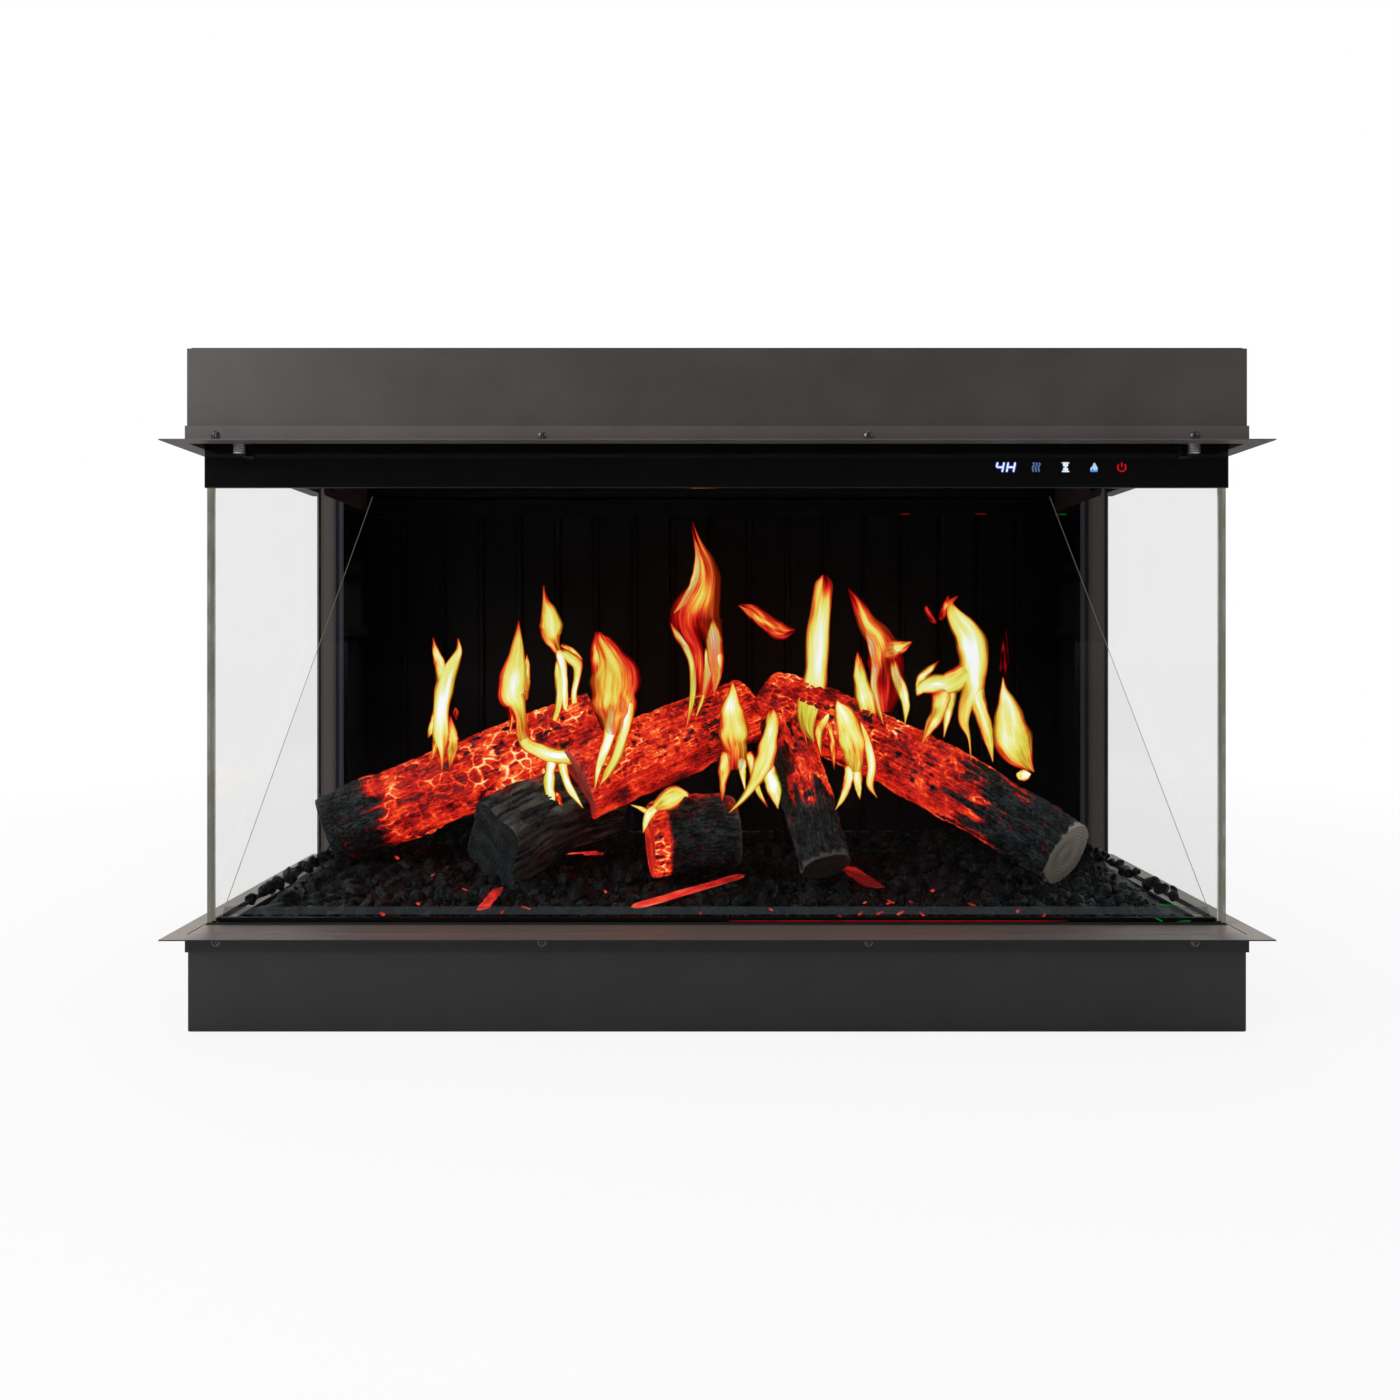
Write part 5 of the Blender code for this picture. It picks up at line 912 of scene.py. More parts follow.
def glazed(name, facing, edge_colour, veil, shine, bands):
    """Clear glass: on its faces a share of Fresnel gloss over what is behind, on its edges frosted
    glass where they face the eye. An edge is where the normal is off the facing axis. Each band greys
    the faces between two distances along an axis with painted light of its colour, given off as
    emission: a bevel, or an edge seen through a face."""
    material, start = new_finish(name)
    place = place_on(start)
    normal = place_on(start, "Normal")
    square_on = start.node("VectorMath", {"operation": "DOT_PRODUCT"}, {0: normal, 1: facing}, "Value")
    edge = 1 - start.node("Math", {"operation": "ABSOLUTE"}, {0: square_on}).between(0.75, 0.9)
    behind = start.node("NewGeometry", {}, {}, "Backfacing")
    sight = start.node("Fresnel", {}, {"IOR": 1.45})
    through = start.node("BsdfTransparent", {}, {"Color": (*veil, 1)})
    gloss = start.node("BsdfGlossy", {}, {"Color": (0.9, 0.93, 0.95, 1), "Roughness": 0.03})
    pane = start.node("MixShader", {}, {0: sight * shine, 1: through, 2: gloss})
    ground = start.node("BsdfPrincipled", {}, {
        "Base Color": place.cloud(80.0).colours(edge_colour, shaded(edge_colour, 1.3)),
        "Roughness": place.cloud(400.0) * 0.2 + 0.3,
    })
    clear_back = start.node("MixShader", {}, {0: behind, 1: ground, 2: through})
    for axis, low, high, colour, share in bands:
        reach = place.along(axis)
        within = reach.between(low, low + 0.5 * MM) * (1 - reach.between(high - 0.5 * MM, high))
        patchy = place.stretched((30.0, 30.0, 30.0)).cloud(1.0, 3.0) * 0.5 + 0.75
        painted_band_light = start.node("Emission", {}, {"Color": (*colour, 1)})
        grey = within * patchy * share * (1 - behind)
        pane = start.node("MixShader", {}, {0: grey, 1: pane, 2: painted_band_light})
    surface = start.node("MixShader", {}, {0: edge, 1: pane, 2: clear_back})
    start.node("OutputMaterial", {}, {"Surface": surface})
    return material


SLOPE = math.sqrt(0.5)
# Painted light on the glass: a warm grey band at each end of the front pane. On the side panes, a
# near-black band and then a band in the posts' lit colour, brighter on the left. On the sheet, a
# blue-grey band low down and a grey band at each side.
PAINTED_END_LIGHT = (0.15, 0.145, 0.118)
PAINTED_SHEET_EDGE_LIGHT = (0.17, 0.17, 0.15)
sheet_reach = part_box("inclined_sheet")[1][0]
front_bands = (("X", 0.5212, 0.529, PAINTED_END_LIGHT, 0.97), ("X", -0.529, -0.5212, PAINTED_END_LIGHT, 0.97))
dress(glazed("pane_front", (0.0, 1.0, 0.0), (0.2, 0.21, 0.2), (0.992, 0.994, 0.992), 0.04,
             front_bands), "front_glass")
for side, painted_post_light in (("left", (0.058, 0.048, 0.045)), ("right", (0.034, 0.032, 0.031))):
    side_bands = (("Y", 0.0405, 0.0495, (0.008, 0.006, 0.006), 0.97),
                  ("Y", 0.0495, 0.0615, painted_post_light, 0.97))
    dress(glazed("pane_" + side, (1.0, 0.0, 0.0), (0.7, 0.71, 0.7), (0.965, 0.967, 0.963), 0.1,
                 side_bands), side + "_glass")
sheet_bands = (("Z", 0.1048, 0.1118, (0.045, 0.052, 0.057), 0.45),
               ("X", sheet_reach - 1.4 * MM, sheet_reach + MM, PAINTED_SHEET_EDGE_LIGHT, 0.85),
               ("X", -sheet_reach - MM, 1.4 * MM - sheet_reach, PAINTED_SHEET_EDGE_LIGHT, 0.85))
dress(glazed("clear_sheet", (0.0, -SLOPE, SLOPE), (0.3, 0.31, 0.31), (0.994, 0.994, 0.994), 0.05,
             sheet_bands), "inclined_sheet")


# The flames: a picture on the screen, mirrored by the clear sheet, so that they seem to stand
# among the logs. Each is thin glowing leaves that lean back just under the sheet. They are light.

PICTURE_FOCUS = 1050.0
PICTURE_MIDDLE = (700.0, 638.0)
EYE = np.array([-0.017, -1.3465, 0.3945])
LEAF_STATIONS = 64
LEAF_AROUND = 20
LEAF_THICKNESS_SHARE = 0.3
LEAF_THICKEST = 3.5 * MM


def smooth_run(knots, count):
    """Points evenly along a curve through the knots: between two knots, the cubic whose slope at
    each knot is half the step between that knot's neighbours."""
    knots = np.array(knots)
    held = np.vstack([2 * knots[0] - knots[1], knots, 2 * knots[-1] - knots[-2]])
    step = np.linspace(0, len(knots) - 1, count)
    index = np.minimum(step.astype(int), len(knots) - 2)
    share = (step - index)[:, None]
    before, here, after, beyond = (held[index + shift] for shift in range(4))
    return here + 0.5 * share * (after - before + share * (
        2 * before - 5 * here + 4 * after - beyond + share * (3 * (here - after) + beyond - before)))


def flame_leaf(knots, heat, cool, near, far, seed):
    """A leaf along a curve of places and half widths in the photograph, with a lens for section.
    Its distance from the eye runs straight from near at the flame's foot to far at its top.
    Heat falls towards both edges, towards the foot and above cool, with bright and dull streaks.
    Gives the leaf's rings, its heat, how olive its edges are, and the run of its streaks."""
    run = smooth_run(knots, LEAF_STATIONS)
    share = np.linspace(0, 1, LEAF_STATIONS)
    middle = run[:, :2]
    along = np.gradient(middle, axis=0)
    along /= np.linalg.norm(along, axis=1, keepdims=True)
    across = np.stack([along[:, 1], -along[:, 0]], axis=1)
    flicker = mottle(np.stack([share * 5, share * 0 + seed, share * 0], axis=1), 1.0, seed)
    ripple = mottle(np.stack([share * 12, share * 0 + seed, share * 0], axis=1), 1.0, seed + 7)
    half = np.maximum(run[:, 2], 0.25) * (1.14 + 0.12 * flicker + 0.08 * ripple)
    angle = np.linspace(0, 2 * math.pi, LEAF_AROUND, endpoint=False)
    wide = np.cos(angle)
    picture = middle[:, None] + across[:, None] * (half[:, None] * wide)[..., None]
    depth = near[0] + (far[0] - near[0]) * (near[1] - picture[..., 1]) / (near[1] - far[1])
    thick = np.minimum(half * LEAF_THICKNESS_SHARE * MM, LEAF_THICKEST)
    distance = depth + thick[:, None] * np.sin(angle)
    offset = (picture - PICTURE_MIDDLE) / PICTURE_FOCUS * distance[..., None]
    rings = np.stack([EYE[0] + offset[..., 0], EYE[1] + distance, EYE[2] - offset[..., 1]], axis=-1)
    rim = 1 - np.abs(wide) ** 2.4
    flow = np.stack(np.broadcast_arrays(wide * 1.4, share[:, None] * 3.0, float(seed)), axis=-1)
    streak = mottle(flow, 0.55, seed + 3)
    slow = mottle(flow, 1.3, seed + 4)
    fade = np.clip((share - cool) / (1 - cool), 0, 1)
    foot = np.clip(share / 0.2, 0, 1)
    hollow = np.exp(-(wide / 0.5) ** 2) * np.exp(-((share[:, None] - 0.22) / 0.13) ** 2)
    hollow *= np.clip(half[:, None] / 9, 0, 1)
    warm = (heat - 0.07) * (1 - 0.72 * fade ** 1.3) * (0.45 + 0.55 * foot)
    values = warm[:, None] * rim ** 0.9 + (0.24 * streak + 0.18 * slow) * rim - 0.3 * hollow
    tint = np.clip(0.35 + 0.9 * mottle(flow, 0.9, seed + 6), 0, 1) * np.clip(heat * 2 - 0.9, 0, 1)
    return rings, values, tint * (1 - fade[:, None]), flow


def flame_light():
    """Light alone: black through red, orange and yellow to white with heat, clear where cold. A
    second ramp goes through olive instead of red, where the tint says so."""
    material, start = new_finish("flame_light")
    warmth = start.node("Attribute", {"attribute_name": "warmth"}, {}, "Fac")
    tint = start.node("Attribute", {"attribute_name": "tint"}, {}, "Fac")
    drift = start.node("Attribute", {"attribute_name": "drift"}, {}, "Vector")
    broad = drift.stretched((2.6, 1.3, 1.0)).cloud(1.0, 2.0)
    narrow = drift.stretched((9.0, 1.6, 1.0)).cloud(1.0, 3.0, 0.6)
    wisp = broad * 0.55 + narrow * 0.45
    level = warmth + warmth.between(0.0, 0.14) * (wisp - 0.5) * 0.85
    red_side = start.node("ValToRGB", {"stops": (
        (0.0, (0.12, 0.0, 0.0)), (0.18, (0.4, 0.002, 0.003)), (0.3, (0.72, 0.015, 0.012)),
        (0.4, (0.88, 0.1, 0.02)), (0.5, (0.93, 0.4, 0.05)), (0.58, (0.86, 0.7, 0.11)),
        (0.72, (0.88, 0.84, 0.26)), (0.86, (0.96, 0.95, 0.62)),
        (0.96, (1.0, 1.0, 1.0)))}, {"Fac": level})
    olive_side = start.node("ValToRGB", {"stops": (
        (0.0, (0.03, 0.03, 0.0)), (0.2, (0.12, 0.12, 0.004)), (0.34, (0.3, 0.31, 0.008)),
        (0.5, (0.6, 0.6, 0.05)), (0.64, (0.8, 0.78, 0.14)), (0.8, (0.84, 0.84, 0.24)),
        (0.92, (0.88, 0.95, 0.75)), (1.0, (0.97, 1.0, 1.0)))}, {"Fac": level})
    lay_on(start, {
        "Base Color": (0.0, 0.0, 0.0, 1),
        "Roughness": 1.0,
        "Specular IOR Level": 0.0,
        "Emission Color": tint.colours(red_side, olive_side),
        "Emission Strength": 1.0,
        "Alpha": level.between(0.03, 0.42),
    })
    return material


# Each flame has its distance from the eye and its row in the photograph, at its foot and at its
# top, and then its leaves: heat, the share of its length where it cools, and a curve of column,
# row and half width in the photograph.
FLAMES = (
    ((1.328, 772), (1.409, 636), (
        (0.98, 0.8, ((442, 772, 0.5), (442, 752, 3), (441, 735, 9), (441, 712, 8), (444, 690, 9),
            (449, 672, 8.5), (455, 660, 5), (459, 650, 3), (458, 638, 0.5))),
        (0.85, 0.7, ((444, 700, 5), (443, 680, 6), (440, 665, 5), (436, 652, 3.5),
            (433, 637, 0.5))),
        (0.8, 0.7, ((450, 770, 0.5), (452, 752, 5), (453, 742, 5.5), (452, 732, 5), (450, 716, 1))),
        (0.62, 0.9, ((430, 764, 0.5), (434, 752, 2.5), (437, 738, 4), (439, 725, 2))),
        (0.72, 0.9, ((428, 738, 0.5), (432, 728, 3.5), (436, 715, 4), (438, 700, 2))),
        (0.4, 0.5, ((456, 720, 0.3), (456, 713, 3), (455, 707, 0.3))),
    )),
    ((1.283, 815), (1.432, 620), (
        (0.85, 0.86, ((525, 748, 4), (523, 735, 6), (521, 718, 6), (517, 704, 9), (512, 695, 14),
            (513, 680, 13), (515, 667, 11), (517, 653, 7), (518, 637, 3.8), (518.5, 620, 0.4))),
        (0.72, 0.8, ((525, 700, 3), (526, 682, 4), (527, 668, 3), (527, 654, 0.4))),
        (0.95, 0.9, ((521, 732, 5), (527, 744, 6.5), (540, 751, 7), (553, 756, 8.5), (567, 757, 8),
            (577, 758, 5), (581, 766, 0.5))),
        (0.98, 0.9, ((549, 815, 0.5), (551, 799, 5), (549, 786, 5.5), (550, 772, 4.5),
            (553, 757, 6))),
        (0.5, 0.9, ((562, 815, 0.4), (560, 803, 2.2), (557, 792, 3.5))),
        (0.95, 0.9, ((583, 808, 0.4), (576, 798, 2.5), (568, 785, 4), (564, 771, 4.5),
            (562, 757, 6))),
        (0.42, 0.8, ((509, 740, 0.4), (511, 722, 2.5), (510, 705, 4), (508, 690, 3))),
    )),
    ((1.343, 736), (1.481, 585), (
        (0.84, 0.6, ((561, 657, 3), (555, 646, 5.5), (551, 636, 9), (551, 625, 10.5),
            (549, 612, 7.5), (545.5, 601, 3), (543.5, 585, 0.4))),
        (0.97, 0.9, ((569, 729, 0.4), (566, 710, 2.5), (564, 690, 4), (563, 668, 4.5),
            (559, 650, 4))),
        (0.84, 0.9, ((548, 736, 0.4), (553, 724, 2.5), (558, 710, 3.5), (560, 692, 3.5),
            (558, 675, 3.5), (557, 660, 1))),
        (0.84, 0.9, ((586, 728, 0.4), (577, 712, 3.5), (574, 695, 3), (577, 678, 3.5),
            (577, 664, 5), (569, 657, 5), (560, 650, 3))),
        (0.64, 0.8, ((561, 645, 2), (573, 651, 2.5), (583, 660, 0.4))),
    )),
    ((1.245, 792), (1.4, 632), (
        (0.8, 0.55, ((614, 735, 6), (613, 722, 14), (614, 708, 21), (614, 694, 21.5),
            (615, 673, 21), (609, 655, 13.5), (601, 640, 8), (600, 632, 2))),
        (0.9, 0.9, ((594.5, 792, 0.4), (598, 770, 3.5), (602, 757, 4.5), (608, 740, 6),
            (613, 720, 8), (614, 700, 6))),
        (0.85, 0.9, ((600, 785, 0.5), (606, 775, 3.5), (616, 757, 4.5), (622, 738, 5.5),
            (626, 718, 8), (627, 695, 7), (624, 675, 4))),
        (0.42, 0.7, ((597, 700, 3), (597, 680, 6), (597, 660, 7), (598, 645, 6), (597, 632, 2))),
    )),
    ((1.312, 728), (1.583, 521), (
        (0.56, 0.8, ((702, 695, 9), (705, 680, 14), (706, 662, 16), (704, 645, 19), (698, 629, 25),
            (696, 617, 28), (699, 605, 24), (704, 592, 17), (707, 577, 12.5), (705, 562, 8.5),
            (700, 549, 5), (696, 537, 3), (692, 521, 0.5))),
        (0.85, 0.8, ((686, 728, 0.5), (690, 712, 2.2), (693, 690, 3), (692, 665, 3),
            (686, 648, 3.5), (677, 635, 3), (670, 622, 0.5))),
        (0.95, 0.8, ((714, 694, 0.5), (716, 674, 5.5), (715, 652, 8), (714, 635, 6),
            (713, 618, 1))),
        (0.85, 0.8, ((674, 613, 0.5), (684, 602, 3.5), (692, 588, 4.5), (697, 572, 4),
            (698, 556, 3), (694, 537, 0.5))),
        (0.8, 0.9, ((696, 717, 0.4), (701, 703, 2.2), (705, 688, 3.2), (708, 668, 4),
            (706, 648, 1))),
    )),
    ((1.462, 632), (1.462, 605), (
        (0.5, 0.8, ((739, 605, 1), (752, 611, 6.5), (766, 622, 8.5), (780, 631, 8), (795, 630, 2))),
    )),
    ((1.295, 745), (1.495, 576), (
        (0.98, 0.66, ((814, 742, 0.5), (808, 729, 6), (807, 715, 8.5), (810, 700, 11),
            (815, 684, 11), (817, 667, 9.5), (817.5, 650, 10), (818, 632, 10), (820, 615, 9),
            (822, 598, 8.5), (824, 583, 7.5), (824, 575, 2))),
        (0.42, 0.7, ((807, 745, 0.5), (804, 730, 4), (801, 712, 3.5), (802, 700, 0.5))),
    )),
    ((1.315, 728), (1.468, 588), (
        (0.56, 0.7, ((886, 712, 6), (887, 690, 14), (887, 672, 15), (886, 660, 16), (884, 648, 14),
            (878, 636, 11), (868, 624, 8.5), (862, 612, 8), (856, 600, 5), (848, 588, 0.5))),
        (0.92, 0.75, ((884, 727, 0.4), (877, 702, 3), (874, 684, 4), (876, 662, 5), (873, 646, 5),
            (868, 630, 3.5), (864, 615, 1))),
        (0.8, 0.6, ((880, 652, 6), (888, 651, 8), (896, 648, 8), (904, 646, 5), (912, 642, 0.6))),
        (0.88, 0.85, ((905, 724, 0.4), (906, 706, 3.8), (902, 690, 5.5), (896, 675, 5),
            (893, 660, 3))),
        (0.9, 0.62, ((871, 728, 0.4), (869, 714, 7), (865, 698, 9), (861, 681, 7), (859, 665, 5),
            (857.5, 652, 0.6))),
    )),
    ((1.262, 762), (1.464, 596), (
        (0.95, 0.8, ((971, 760, 0.4), (969, 738, 1.6), (964, 722, 5), (966, 705, 7), (972, 690, 10),
            (972, 675, 13), (974, 660, 13), (972, 645, 13.5), (967, 633, 13), (959, 622, 10.5),
            (953, 612, 6.5), (951, 603, 3), (958, 596, 0.5))),
        (0.86, 0.9, ((993, 762, 0.4), (990, 745, 3.5), (986, 728, 6.5), (981, 712, 7.5),
            (976, 695, 9), (974, 680, 8))),
        (0.97, 0.9, ((978, 660, 6), (964, 675, 10), (948, 684, 9.5), (934, 684, 9), (922, 688, 6.5),
            (917, 696, 1))),
        (0.7, 0.8, ((918, 692, 3), (921, 679, 4.5), (928, 671, 3.5), (939, 661, 0.5))),
        (0.76, 0.9, ((922, 744, 0.4), (929, 729, 4.5), (937, 716, 7), (941, 702, 9),
            (943, 688, 9))),
        (0.82, 0.9, ((944, 737, 0.4), (947, 718, 3.8), (950, 700, 5.5), (952, 686, 5))),
        (0.4, 0.8, ((937, 624, 0.5), (932, 619, 3), (927, 610, 2.6), (926, 605, 0.4))),
        (0.45, 0.8, ((941, 620, 3), (944, 610, 3.4), (947, 602, 2.6), (949, 595, 0.5))),
    )),
    ((1.238, 778), (1.392, 629), (
        (0.88, 0.8, ((1034, 772, 0.5), (1026, 763, 8), (1019, 753, 14), (1014, 742, 17),
            (1011, 731, 16), (1009, 717, 13.5), (1007, 703, 9), (1004, 690, 4), (1003, 677, 0.5))),
        (0.18, 0.7, ((1004, 690, 3), (1004, 670, 4), (1005, 650, 4), (1005, 629, 0.5))),
        (0.95, 0.9, ((1016, 774, 0.5), (1020, 775, 5), (1026, 775, 5), (1031, 774, 0.5))),
    )),
    ((1.222, 813), (1.354, 680), (
        (0.93, 0.75, ((735, 770, 8), (736, 753, 12), (734, 741, 12.5), (734, 729, 13.5),
            (732.5, 718, 12), (732, 706, 9), (733, 693, 4.5), (732, 680, 0.5))),
        (0.62, 0.9, ((722, 801, 0.4), (723, 784, 3.5), (725, 768, 5.5), (728, 752, 6))),
        (0.88, 0.9, ((745, 790, 0.4), (743, 775, 3), (741, 758, 5))),
        (0.82, 0.9, ((768, 808, 0.4), (758, 790, 2.8), (754, 772, 4), (748, 752, 5))),
        (0.95, 0.7, ((729, 813, 0.4), (742, 800, 3), (753, 785, 5.5), (761, 770, 9), (766, 757, 9),
            (769, 742, 8), (772, 728, 7), (773, 716, 6.5), (773.5, 708, 1))),
        (0.92, 0.9, ((778, 809, 0.4), (775, 793, 6.5), (771, 778, 6.5), (767, 762, 5))),
    )),
    ((1.255, 810), (1.29, 700), (
        (0.86, 0.85, ((855, 772, 6), (855, 760, 9.5), (854, 748, 10.5), (851, 738, 12),
            (848, 727, 12), (844, 715, 10), (839, 706, 4.5), (837, 700, 0.5))),
        (0.82, 0.9, ((835.4, 810, 0.4), (843, 797, 2.8), (848, 782, 4.5), (851, 765, 5.5))),
        (0.82, 0.9, ((860, 800, 0.4), (858, 784, 3.8), (857, 766, 5))),
        (0.86, 0.9, ((877, 798, 0.4), (870, 785, 3.2), (872, 768, 4.4), (869, 750, 5),
            (864, 733, 3.5), (860, 720, 0.5))),
        (0.8, 0.9, ((821, 755, 0.4), (819, 740, 2.8), (820, 728, 4), (826, 719, 3),
            (829, 713, 0.4))),
        (0.55, 0.9, ((834.5, 770, 0.4), (833, 750, 3.2), (831, 735, 3.4), (828, 720, 2))),
    )),
    ((1.2, 833), (1.236, 790), (
        (0.8, 0.85, ((650, 812, 1), (658, 806, 6), (668, 800, 9.5), (677, 795, 9), (685, 794, 4),
            (689, 797, 0.5))),
        (0.92, 0.9, ((643, 833, 0.5), (646, 822, 3.4), (651, 812, 4.5), (661, 805, 3))),
        (0.82, 0.9, ((631, 805, 0.4), (640, 808, 1.8), (649, 813, 3))),
    )),
)
leaves = []
for near, far, curves in FLAMES:
    for heat, cool, knots in curves:
        leaves.append(flame_leaf(knots, heat, cool, near, far, 5 + len(leaves)))
flames = new_piece("flames", *joined([closed_tube(leaf[0]) for leaf in leaves]), flame_light())
attribute(flames.data, "warmth", "FLOAT", np.concatenate([with_poles(leaf[1]) for leaf in leaves]))
attribute(flames.data, "tint", "FLOAT", np.concatenate([with_poles(leaf[2]) for leaf in leaves]))
attribute(flames.data, "drift", "FLOAT_VECTOR", np.vstack([
    np.vstack([leaf[3].reshape(-1, 3), np.zeros((2, 3))]) for leaf in leaves]))


# The control strip is 4 mm glass, printed black on its back, with five touch keys whose marks are
# lit from the touch board behind it. The marks are windows in the print.

def black_glass():
    """Glass over black print, with wiped smears that make it a little duller."""
    material, start = new_finish("printed_black_glass")
    place = place_on(start)
    smear = place.cloud(12.0, 4.0)
    lay_on(start, {
        "Base Color": smear.colours((0.0028, 0.003, 0.0034), (0.0045, 0.0048, 0.0055)),
        "Roughness": smear * 0.12 + 0.06,
        "Specular IOR Level": 0.5,
    })
    return material


dress(black_glass(), "control_fascia")
dress(moulded("board_black", (0.015, 0.015, 0.016), 0.45, 0.4 * MM), "touch_board")

MARK_HEIGHT = 0.5703
MARK_FRONT = -0.26555
MARK_RELIEF = 0.12 * MM


def mark_stroke(line, half, lift=0.0):
    """A ribbon along a line of places in mm from the mark's middle, with a flat lens section."""
    line = smooth_run(line, 6 * len(line)) if len(line) > 2 else np.linspace(line[0], line[1], 8)
    ahead = np.gradient(line, axis=0)
    ahead /= np.linalg.norm(ahead, axis=1, keepdims=True)
    beside = np.stack([-ahead[:, 1], ahead[:, 0]], axis=1)
    angle = np.linspace(0, 2 * math.pi, 10, endpoint=False)
    end = np.minimum(np.arange(len(line)), np.arange(len(line))[::-1])
    half = half * np.clip(0.7 + 0.3 * end, 0, 1)
    flat = line[:, None] + beside[:, None] * (half[:, None] * np.cos(angle))[..., None]
    depth = np.sin(angle) * MARK_RELIEF * np.ones((len(line), 1)) + lift
    return np.stack([flat[..., 0] * MM, MARK_FRONT - depth, flat[..., 1] * MM], axis=-1)


def marks(name, colour, strokes):
    """Lit windows of one colour: each stroke is its middle along the strip, a line, a half width."""
    material, start = new_finish(name)
    patch = place_on(start).cloud(400.0, 2.0).between(0.3, 0.6)
    lay_on(start, {
        "Base Color": (0.0, 0.0, 0.0, 1),
        "Roughness": 0.5,
        "Specular IOR Level": 0.0,
        "Emission Color": patch.colours(shaded(colour, 0.75), colour),
        "Emission Strength": 1.0,
    })
    windows = [closed_tube(mark_stroke(line, half, lift) + (middle, 0, MARK_HEIGHT))
               for middle, line, half, lift in strokes]
    new_piece(name, *joined(windows), material)


FOUR = (((-2.6, 5.0), (-3.9, 0.2)), ((-3.9, 0.0), (3.0, 0.0)), ((3.9, 5.0), (2.0, -5.0)))
AITCH = (((-2.6, 5.0), (-4.4, -5.0)), ((-3.4, 0.0), (3.4, 0.0)), ((4.4, 5.0), (2.6, -5.0)))
WAVE = ((-0.7, 4.8), (0.8, 3.0), (-0.4, 0.8), (-1.3, -1.2), (0.0, -3.0), (-0.9, -4.8))
RING = tuple((4.2 * math.sin(turn), 4.2 * math.cos(turn))
             for turn in np.linspace(0.75, 2 * math.pi - 0.75, 14))
timer = [(0.2921, line, 0.95, 0.1 * MM) for line in FOUR]
timer += [(0.3030, line, 0.95, 0.1 * MM) for line in AITCH]
halo = [(middle, line, 2.0, 0.0) for middle, line, half, lift in timer]
marks("timer_halo", (0.006, 0.03, 0.42), halo)
marks("timer_mark", (0.88, 0.94, 1.0), timer)
marks("heat_mark", (0.13, 0.24, 0.5),
      [(0.3293 + shift * MM, WAVE, 0.55, 0.0) for shift in (-3.0, 0.0, 3.0)])
marks("hourglass_mark", (0.8, 0.92, 1.0), (
    (0.3593, ((-3.9, 4.4), (3.9, 4.4)), 0.7, 0.0),
    (0.3593, ((-3.9, -4.4), (3.9, -4.4)), 0.7, 0.0),
    (0.3593, ((0.0, 4.4), (0.0, 0.6)), 2.6, 0.0),
    (0.3593, ((0.0, -4.4), (0.0, -0.6)), 2.6, 0.0),
    (0.3593, ((0.0, 2.0), (0.0, -2.0)), 0.9, 0.0)))
marks("flame_mark", (0.5, 0.72, 1.0), (
    (0.3886, ((0.2, 4.2), (1.4, 1.6), (3.0, -1.4), (2.0, -3.0)), 0.9, 0.0),
    (0.3886, ((0.2, 4.0), (-0.6, 1.0), (-3.0, -1.6), (-2.2, -3.0)), 0.8, 0.0),
    (0.3886, ((0.2, 1.0), (0.4, -3.2)), 1.3, 0.0)))
marks("flame_mark_base", (0.06, 0.28, 0.95), ((0.3886, ((-3.9, -4.1), (3.9, -4.1)), 0.8, 0.0),))
marks("power_mark", (0.8, 0.004, 0.012), (
    (0.4172, RING, 0.62, 0.0), (0.4172, ((0.0, 5.0), (0.0, 0.2)), 0.62, 0.0)))


# The screen lies face down in the head. It is dark here apart from what it mirrors.

def screen_front():
    """A dark screen's satin front, a little uneven in tone."""
    material, start = new_finish("screen_front")
    place = place_on(start)
    lay_on(start, {
        "Base Color": place.cloud(30.0).colours((0.004, 0.004, 0.005), (0.01, 0.01, 0.012)),
        "Roughness": place.cloud(200.0) * 0.15 + 0.25,
    })
    return material


dress(screen_front(), "flame_screen")


# Bare metal inside: the aluminium impeller and heating element fins, and the bronze bush.

dress(plated("mill_aluminium", (0.62, 0.63, 0.64), 0.4), "blower_impeller", "heating_element")
dress(plated("bearing_bronze", (0.45, 0.3, 0.12), 0.45), "impeller_bush")
dress(moulded("black_moulding", (0.016, 0.016, 0.016), 0.5, 0.5 * MM), "cable_gland",
      "mains_switch_body", "mains_switch_rocker")


# The two thumbscrews clamp the front pane's clips. They are turned brass, chromed, with a knurl of
# crossed grooves at 30 degrees round the knob and a thread up the shank.

KNOB_RADIUS = 6.1 * MM
KNOB_HEIGHT = 10.7 * MM
SHANK_RADIUS = 1.9 * MM
KNURL_DEPTH = 0.42 * MM
KNURL_COUNT = 20
THREAD_PITCH = 0.8 * MM


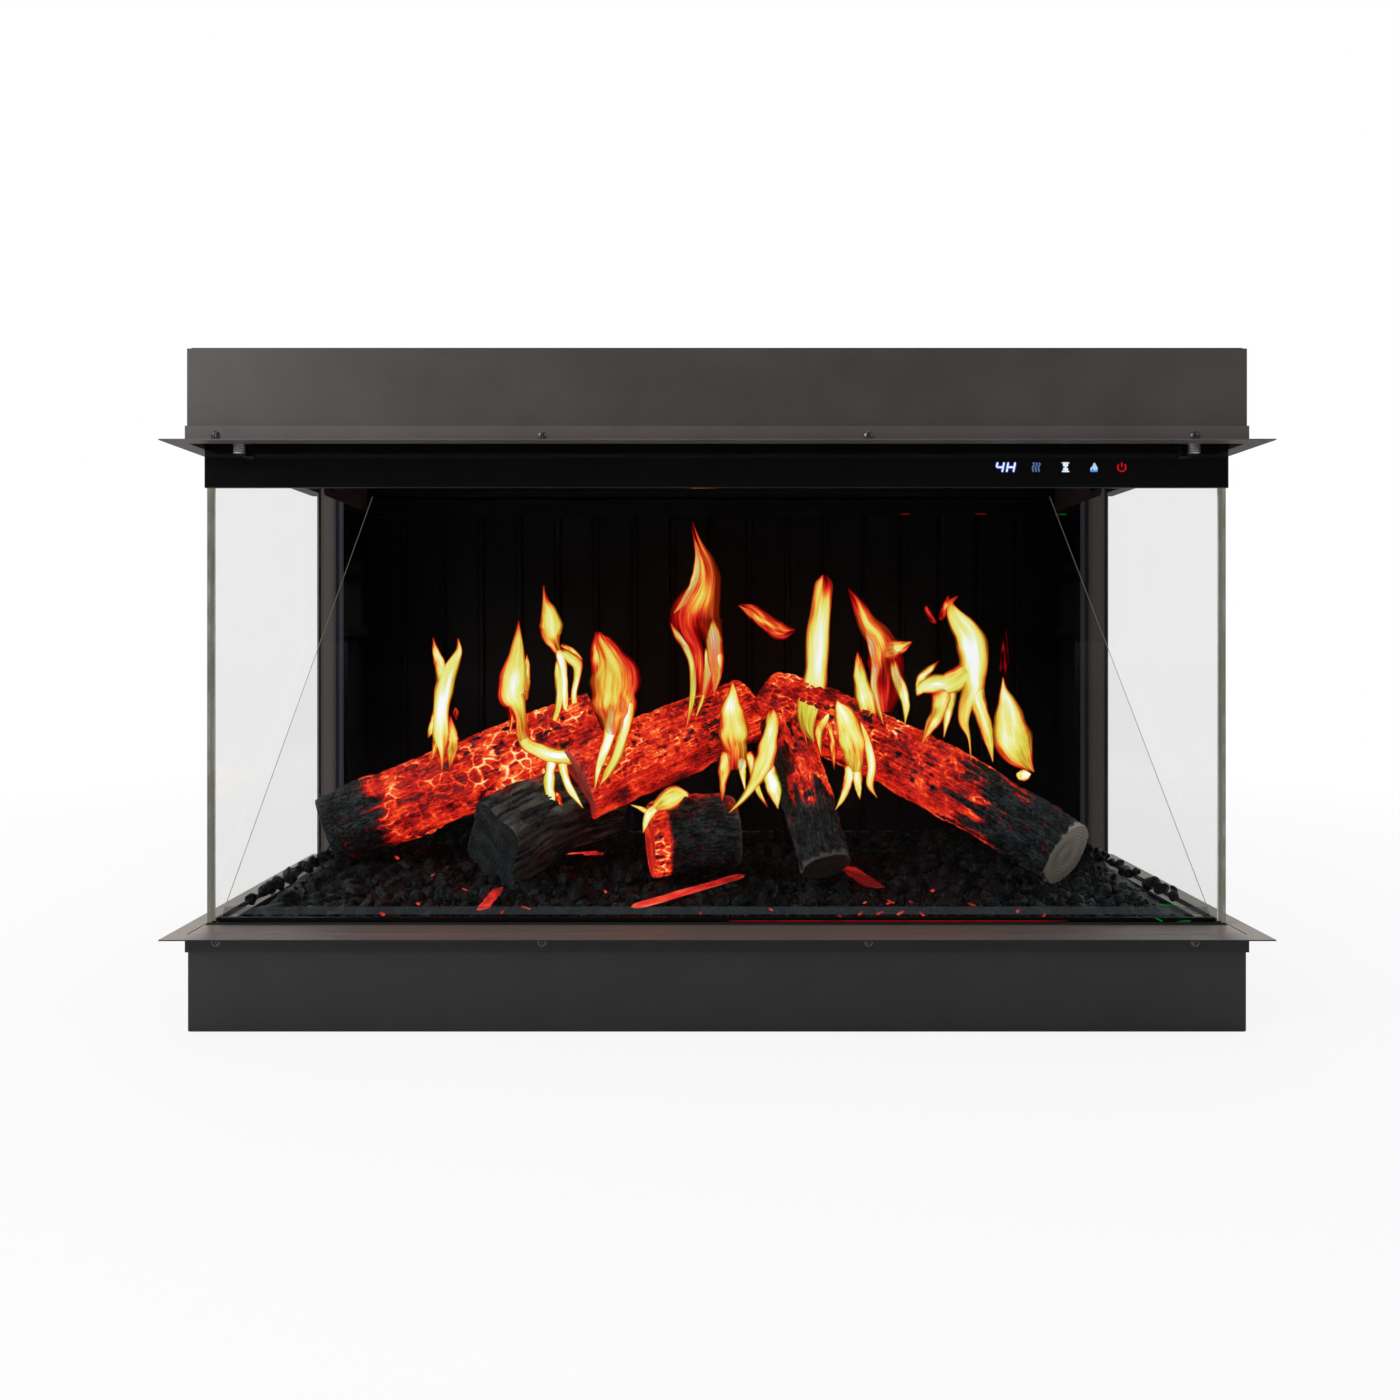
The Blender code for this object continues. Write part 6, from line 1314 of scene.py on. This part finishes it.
def thumbscrew(name):
    """A turned body round a vertical axis: the knob's radius less the deeper of two families of
    helical grooves, then a shank whose radius rises and falls with the thread."""
    low, high = (np.array(corner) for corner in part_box(name))
    middle = (low + high) / 2
    knob = np.linspace(0, KNOB_HEIGHT, 60)
    edge = np.minimum(knob, KNOB_HEIGHT - knob)
    bevel = np.clip(edge / (0.8 * MM), 0, 1)
    shank = np.linspace(KNOB_HEIGHT, high[2] - low[2], 120)
    height = np.concatenate([np.full(4, 0.0), knob, np.full(3, KNOB_HEIGHT), shank])
    reach = np.concatenate([KNOB_RADIUS * np.array([0.2, 0.5, 0.75, 0.84]),
                            KNOB_RADIUS * (0.88 + 0.12 * bevel), np.linspace(0.8, 0.4, 3) * KNOB_RADIUS,
                            np.full(120, SHANK_RADIUS)])
    grooved = np.concatenate([np.zeros(4), (bevel >= 1) * 1.0, np.zeros(123)])
    threaded = np.concatenate([np.zeros(67), np.ones(120)])
    angle = np.linspace(0, 2 * math.pi, 160, endpoint=False)
    twist = height[:, None] / KNOB_HEIGHT * 1.5
    first = np.abs(np.sin(KNURL_COUNT * (angle + twist * 0.35)))
    second = np.abs(np.sin(KNURL_COUNT * (angle - twist * 0.35)))
    groove = 1 - np.minimum(first, second)
    wave = np.sin(2 * math.pi * height[:, None] / THREAD_PITCH - angle)
    radius = (reach[:, None] - KNURL_DEPTH * grooved[:, None] * groove ** 2
              - 0.2 * MM * threaded[:, None] * (1 - wave) / 2)
    rings = np.stack([middle[0] + radius * np.cos(angle), middle[1] + radius * np.sin(angle),
                      low[2] + height[:, None] * np.ones(160)], axis=-1)
    points, faces = closed_tube(rings)
    piece = new_piece(name + "_turned", points, faces, thumb_chrome)
    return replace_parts(piece, name)


thumb_chrome = plated("bright_chrome", (0.8, 0.8, 0.8), 0.2)
thumbscrew("glass_thumbscrew_left")
thumbscrew("glass_thumbscrew_right")


# The studio: a pale floor that fades into a white surround, a large soft lamp on the left, and
# weaker ones on the right and above. The room in front of the glass is dark, so it mirrors little.

def floor_paint():
    """Pale floor for the eye: part of it is plain white light, and all of it from 1.5 m out."""
    material, start = new_finish("studio_floor")
    seen = start.node("LightPath", {}, {}, "Is Camera Ray")
    place = place_on(start)
    away = start.node("VectorMath", {"operation": "LENGTH"}, {0: place}, "Value").between(0.8, 2.2)
    matt = start.node("BsdfDiffuse", {}, {"Color": (0.8, 0.8, 0.8, 1)})
    white = start.node("Emission", {}, {"Color": (1, 1, 1, 1), "Strength": 1.0})
    share = seen * (0.88 + away * 0.12)
    surface = start.node("MixShader", {}, {0: share, 1: matt, 2: white})
    start.node("OutputMaterial", {}, {"Surface": surface})
    return material


FLOOR_REACH = 14.0
floor_mesh = bpy.data.meshes.new("studio_floor")
corners = ((-1, -1), (1, -1), (1, 1), (-1, 1))
floor_mesh.from_pydata([(x * FLOOR_REACH, y * FLOOR_REACH, 0) for x, y in corners], [],
                       [(0, 1, 2, 3)])
floor_mesh.materials.append(floor_paint())
floor = bpy.data.objects.new("studio_floor", floor_mesh)
bpy.context.scene.collection.objects.link(floor)

world = bpy.data.worlds.new("studio")
world.use_nodes = True
world.node_tree.nodes.clear()
surround = Signal(world.node_tree)
seen = surround.node("LightPath", {}, {}, "Is Camera Ray")
bounced = surround.node("LightPath", {}, {}, "Is Transmission Ray")
ahead = surround.node("TexCoord", {}, {}, "Generated").along("Y")
mirrored = surround.node("LightPath", {}, {}, "Is Glossy Ray")
soft = ahead.between(-0.2, 0.4) * 0.3 + 0.16
level = mirrored * (ahead.between(-0.05, 0.25) * 0.96 + 0.04) + (1 - mirrored) * soft
plain = level.colours((0.0, 0.0, 0.0), (1.0, 1.0, 1.0))
white = (seen + bounced).between(0.0, 1.0).colours(plain, (1.0, 1.0, 1.0))
shade = surround.node("Background", {}, {"Color": white, "Strength": 1.0})
surround.node("OutputWorld", {}, {"Surface": shade})
bpy.context.scene.world = world


def soft_lamp(name, place, target, size, power):
    """A square soft box of that size at place, turned to target."""
    light = bpy.data.lights.new(name, "AREA")
    light.shape = "RECTANGLE"
    light.size = size[0]
    light.size_y = size[1]
    light.energy = power
    lamp = bpy.data.objects.new(name, light)
    lamp.location = place
    lamp.rotation_euler = (Vector(target) - Vector(place)).to_track_quat("-Z", "Y").to_euler()
    bpy.context.scene.collection.objects.link(lamp)


soft_lamp("key_left", (-2.3, -1.9, 1.9), (-0.3, 0.0, 0.4), (1.6, 1.6), 60)
soft_lamp("fill_right", (2.4, -1.6, 1.7), (0.3, 0.0, 0.4), (1.4, 1.4), 12)
soft_lamp("top_soft", (0.0, 0.2, 2.6), (0.0, 0.0, 0.5), (2.4, 1.6), 30)

camera = bpy.data.cameras.new("photo_view")
camera.lens = 27.0
camera.sensor_width = 36.0
camera.shift_y = -0.0443
camera.clip_start = 0.05
viewpoint = bpy.data.objects.new("photo_view", camera)
viewpoint.location = EYE
viewpoint.rotation_euler = (math.pi / 2, 0, 0)
bpy.context.scene.collection.objects.link(viewpoint)
bpy.context.scene.camera = viewpoint
bpy.context.scene.view_settings.view_transform = "Standard"
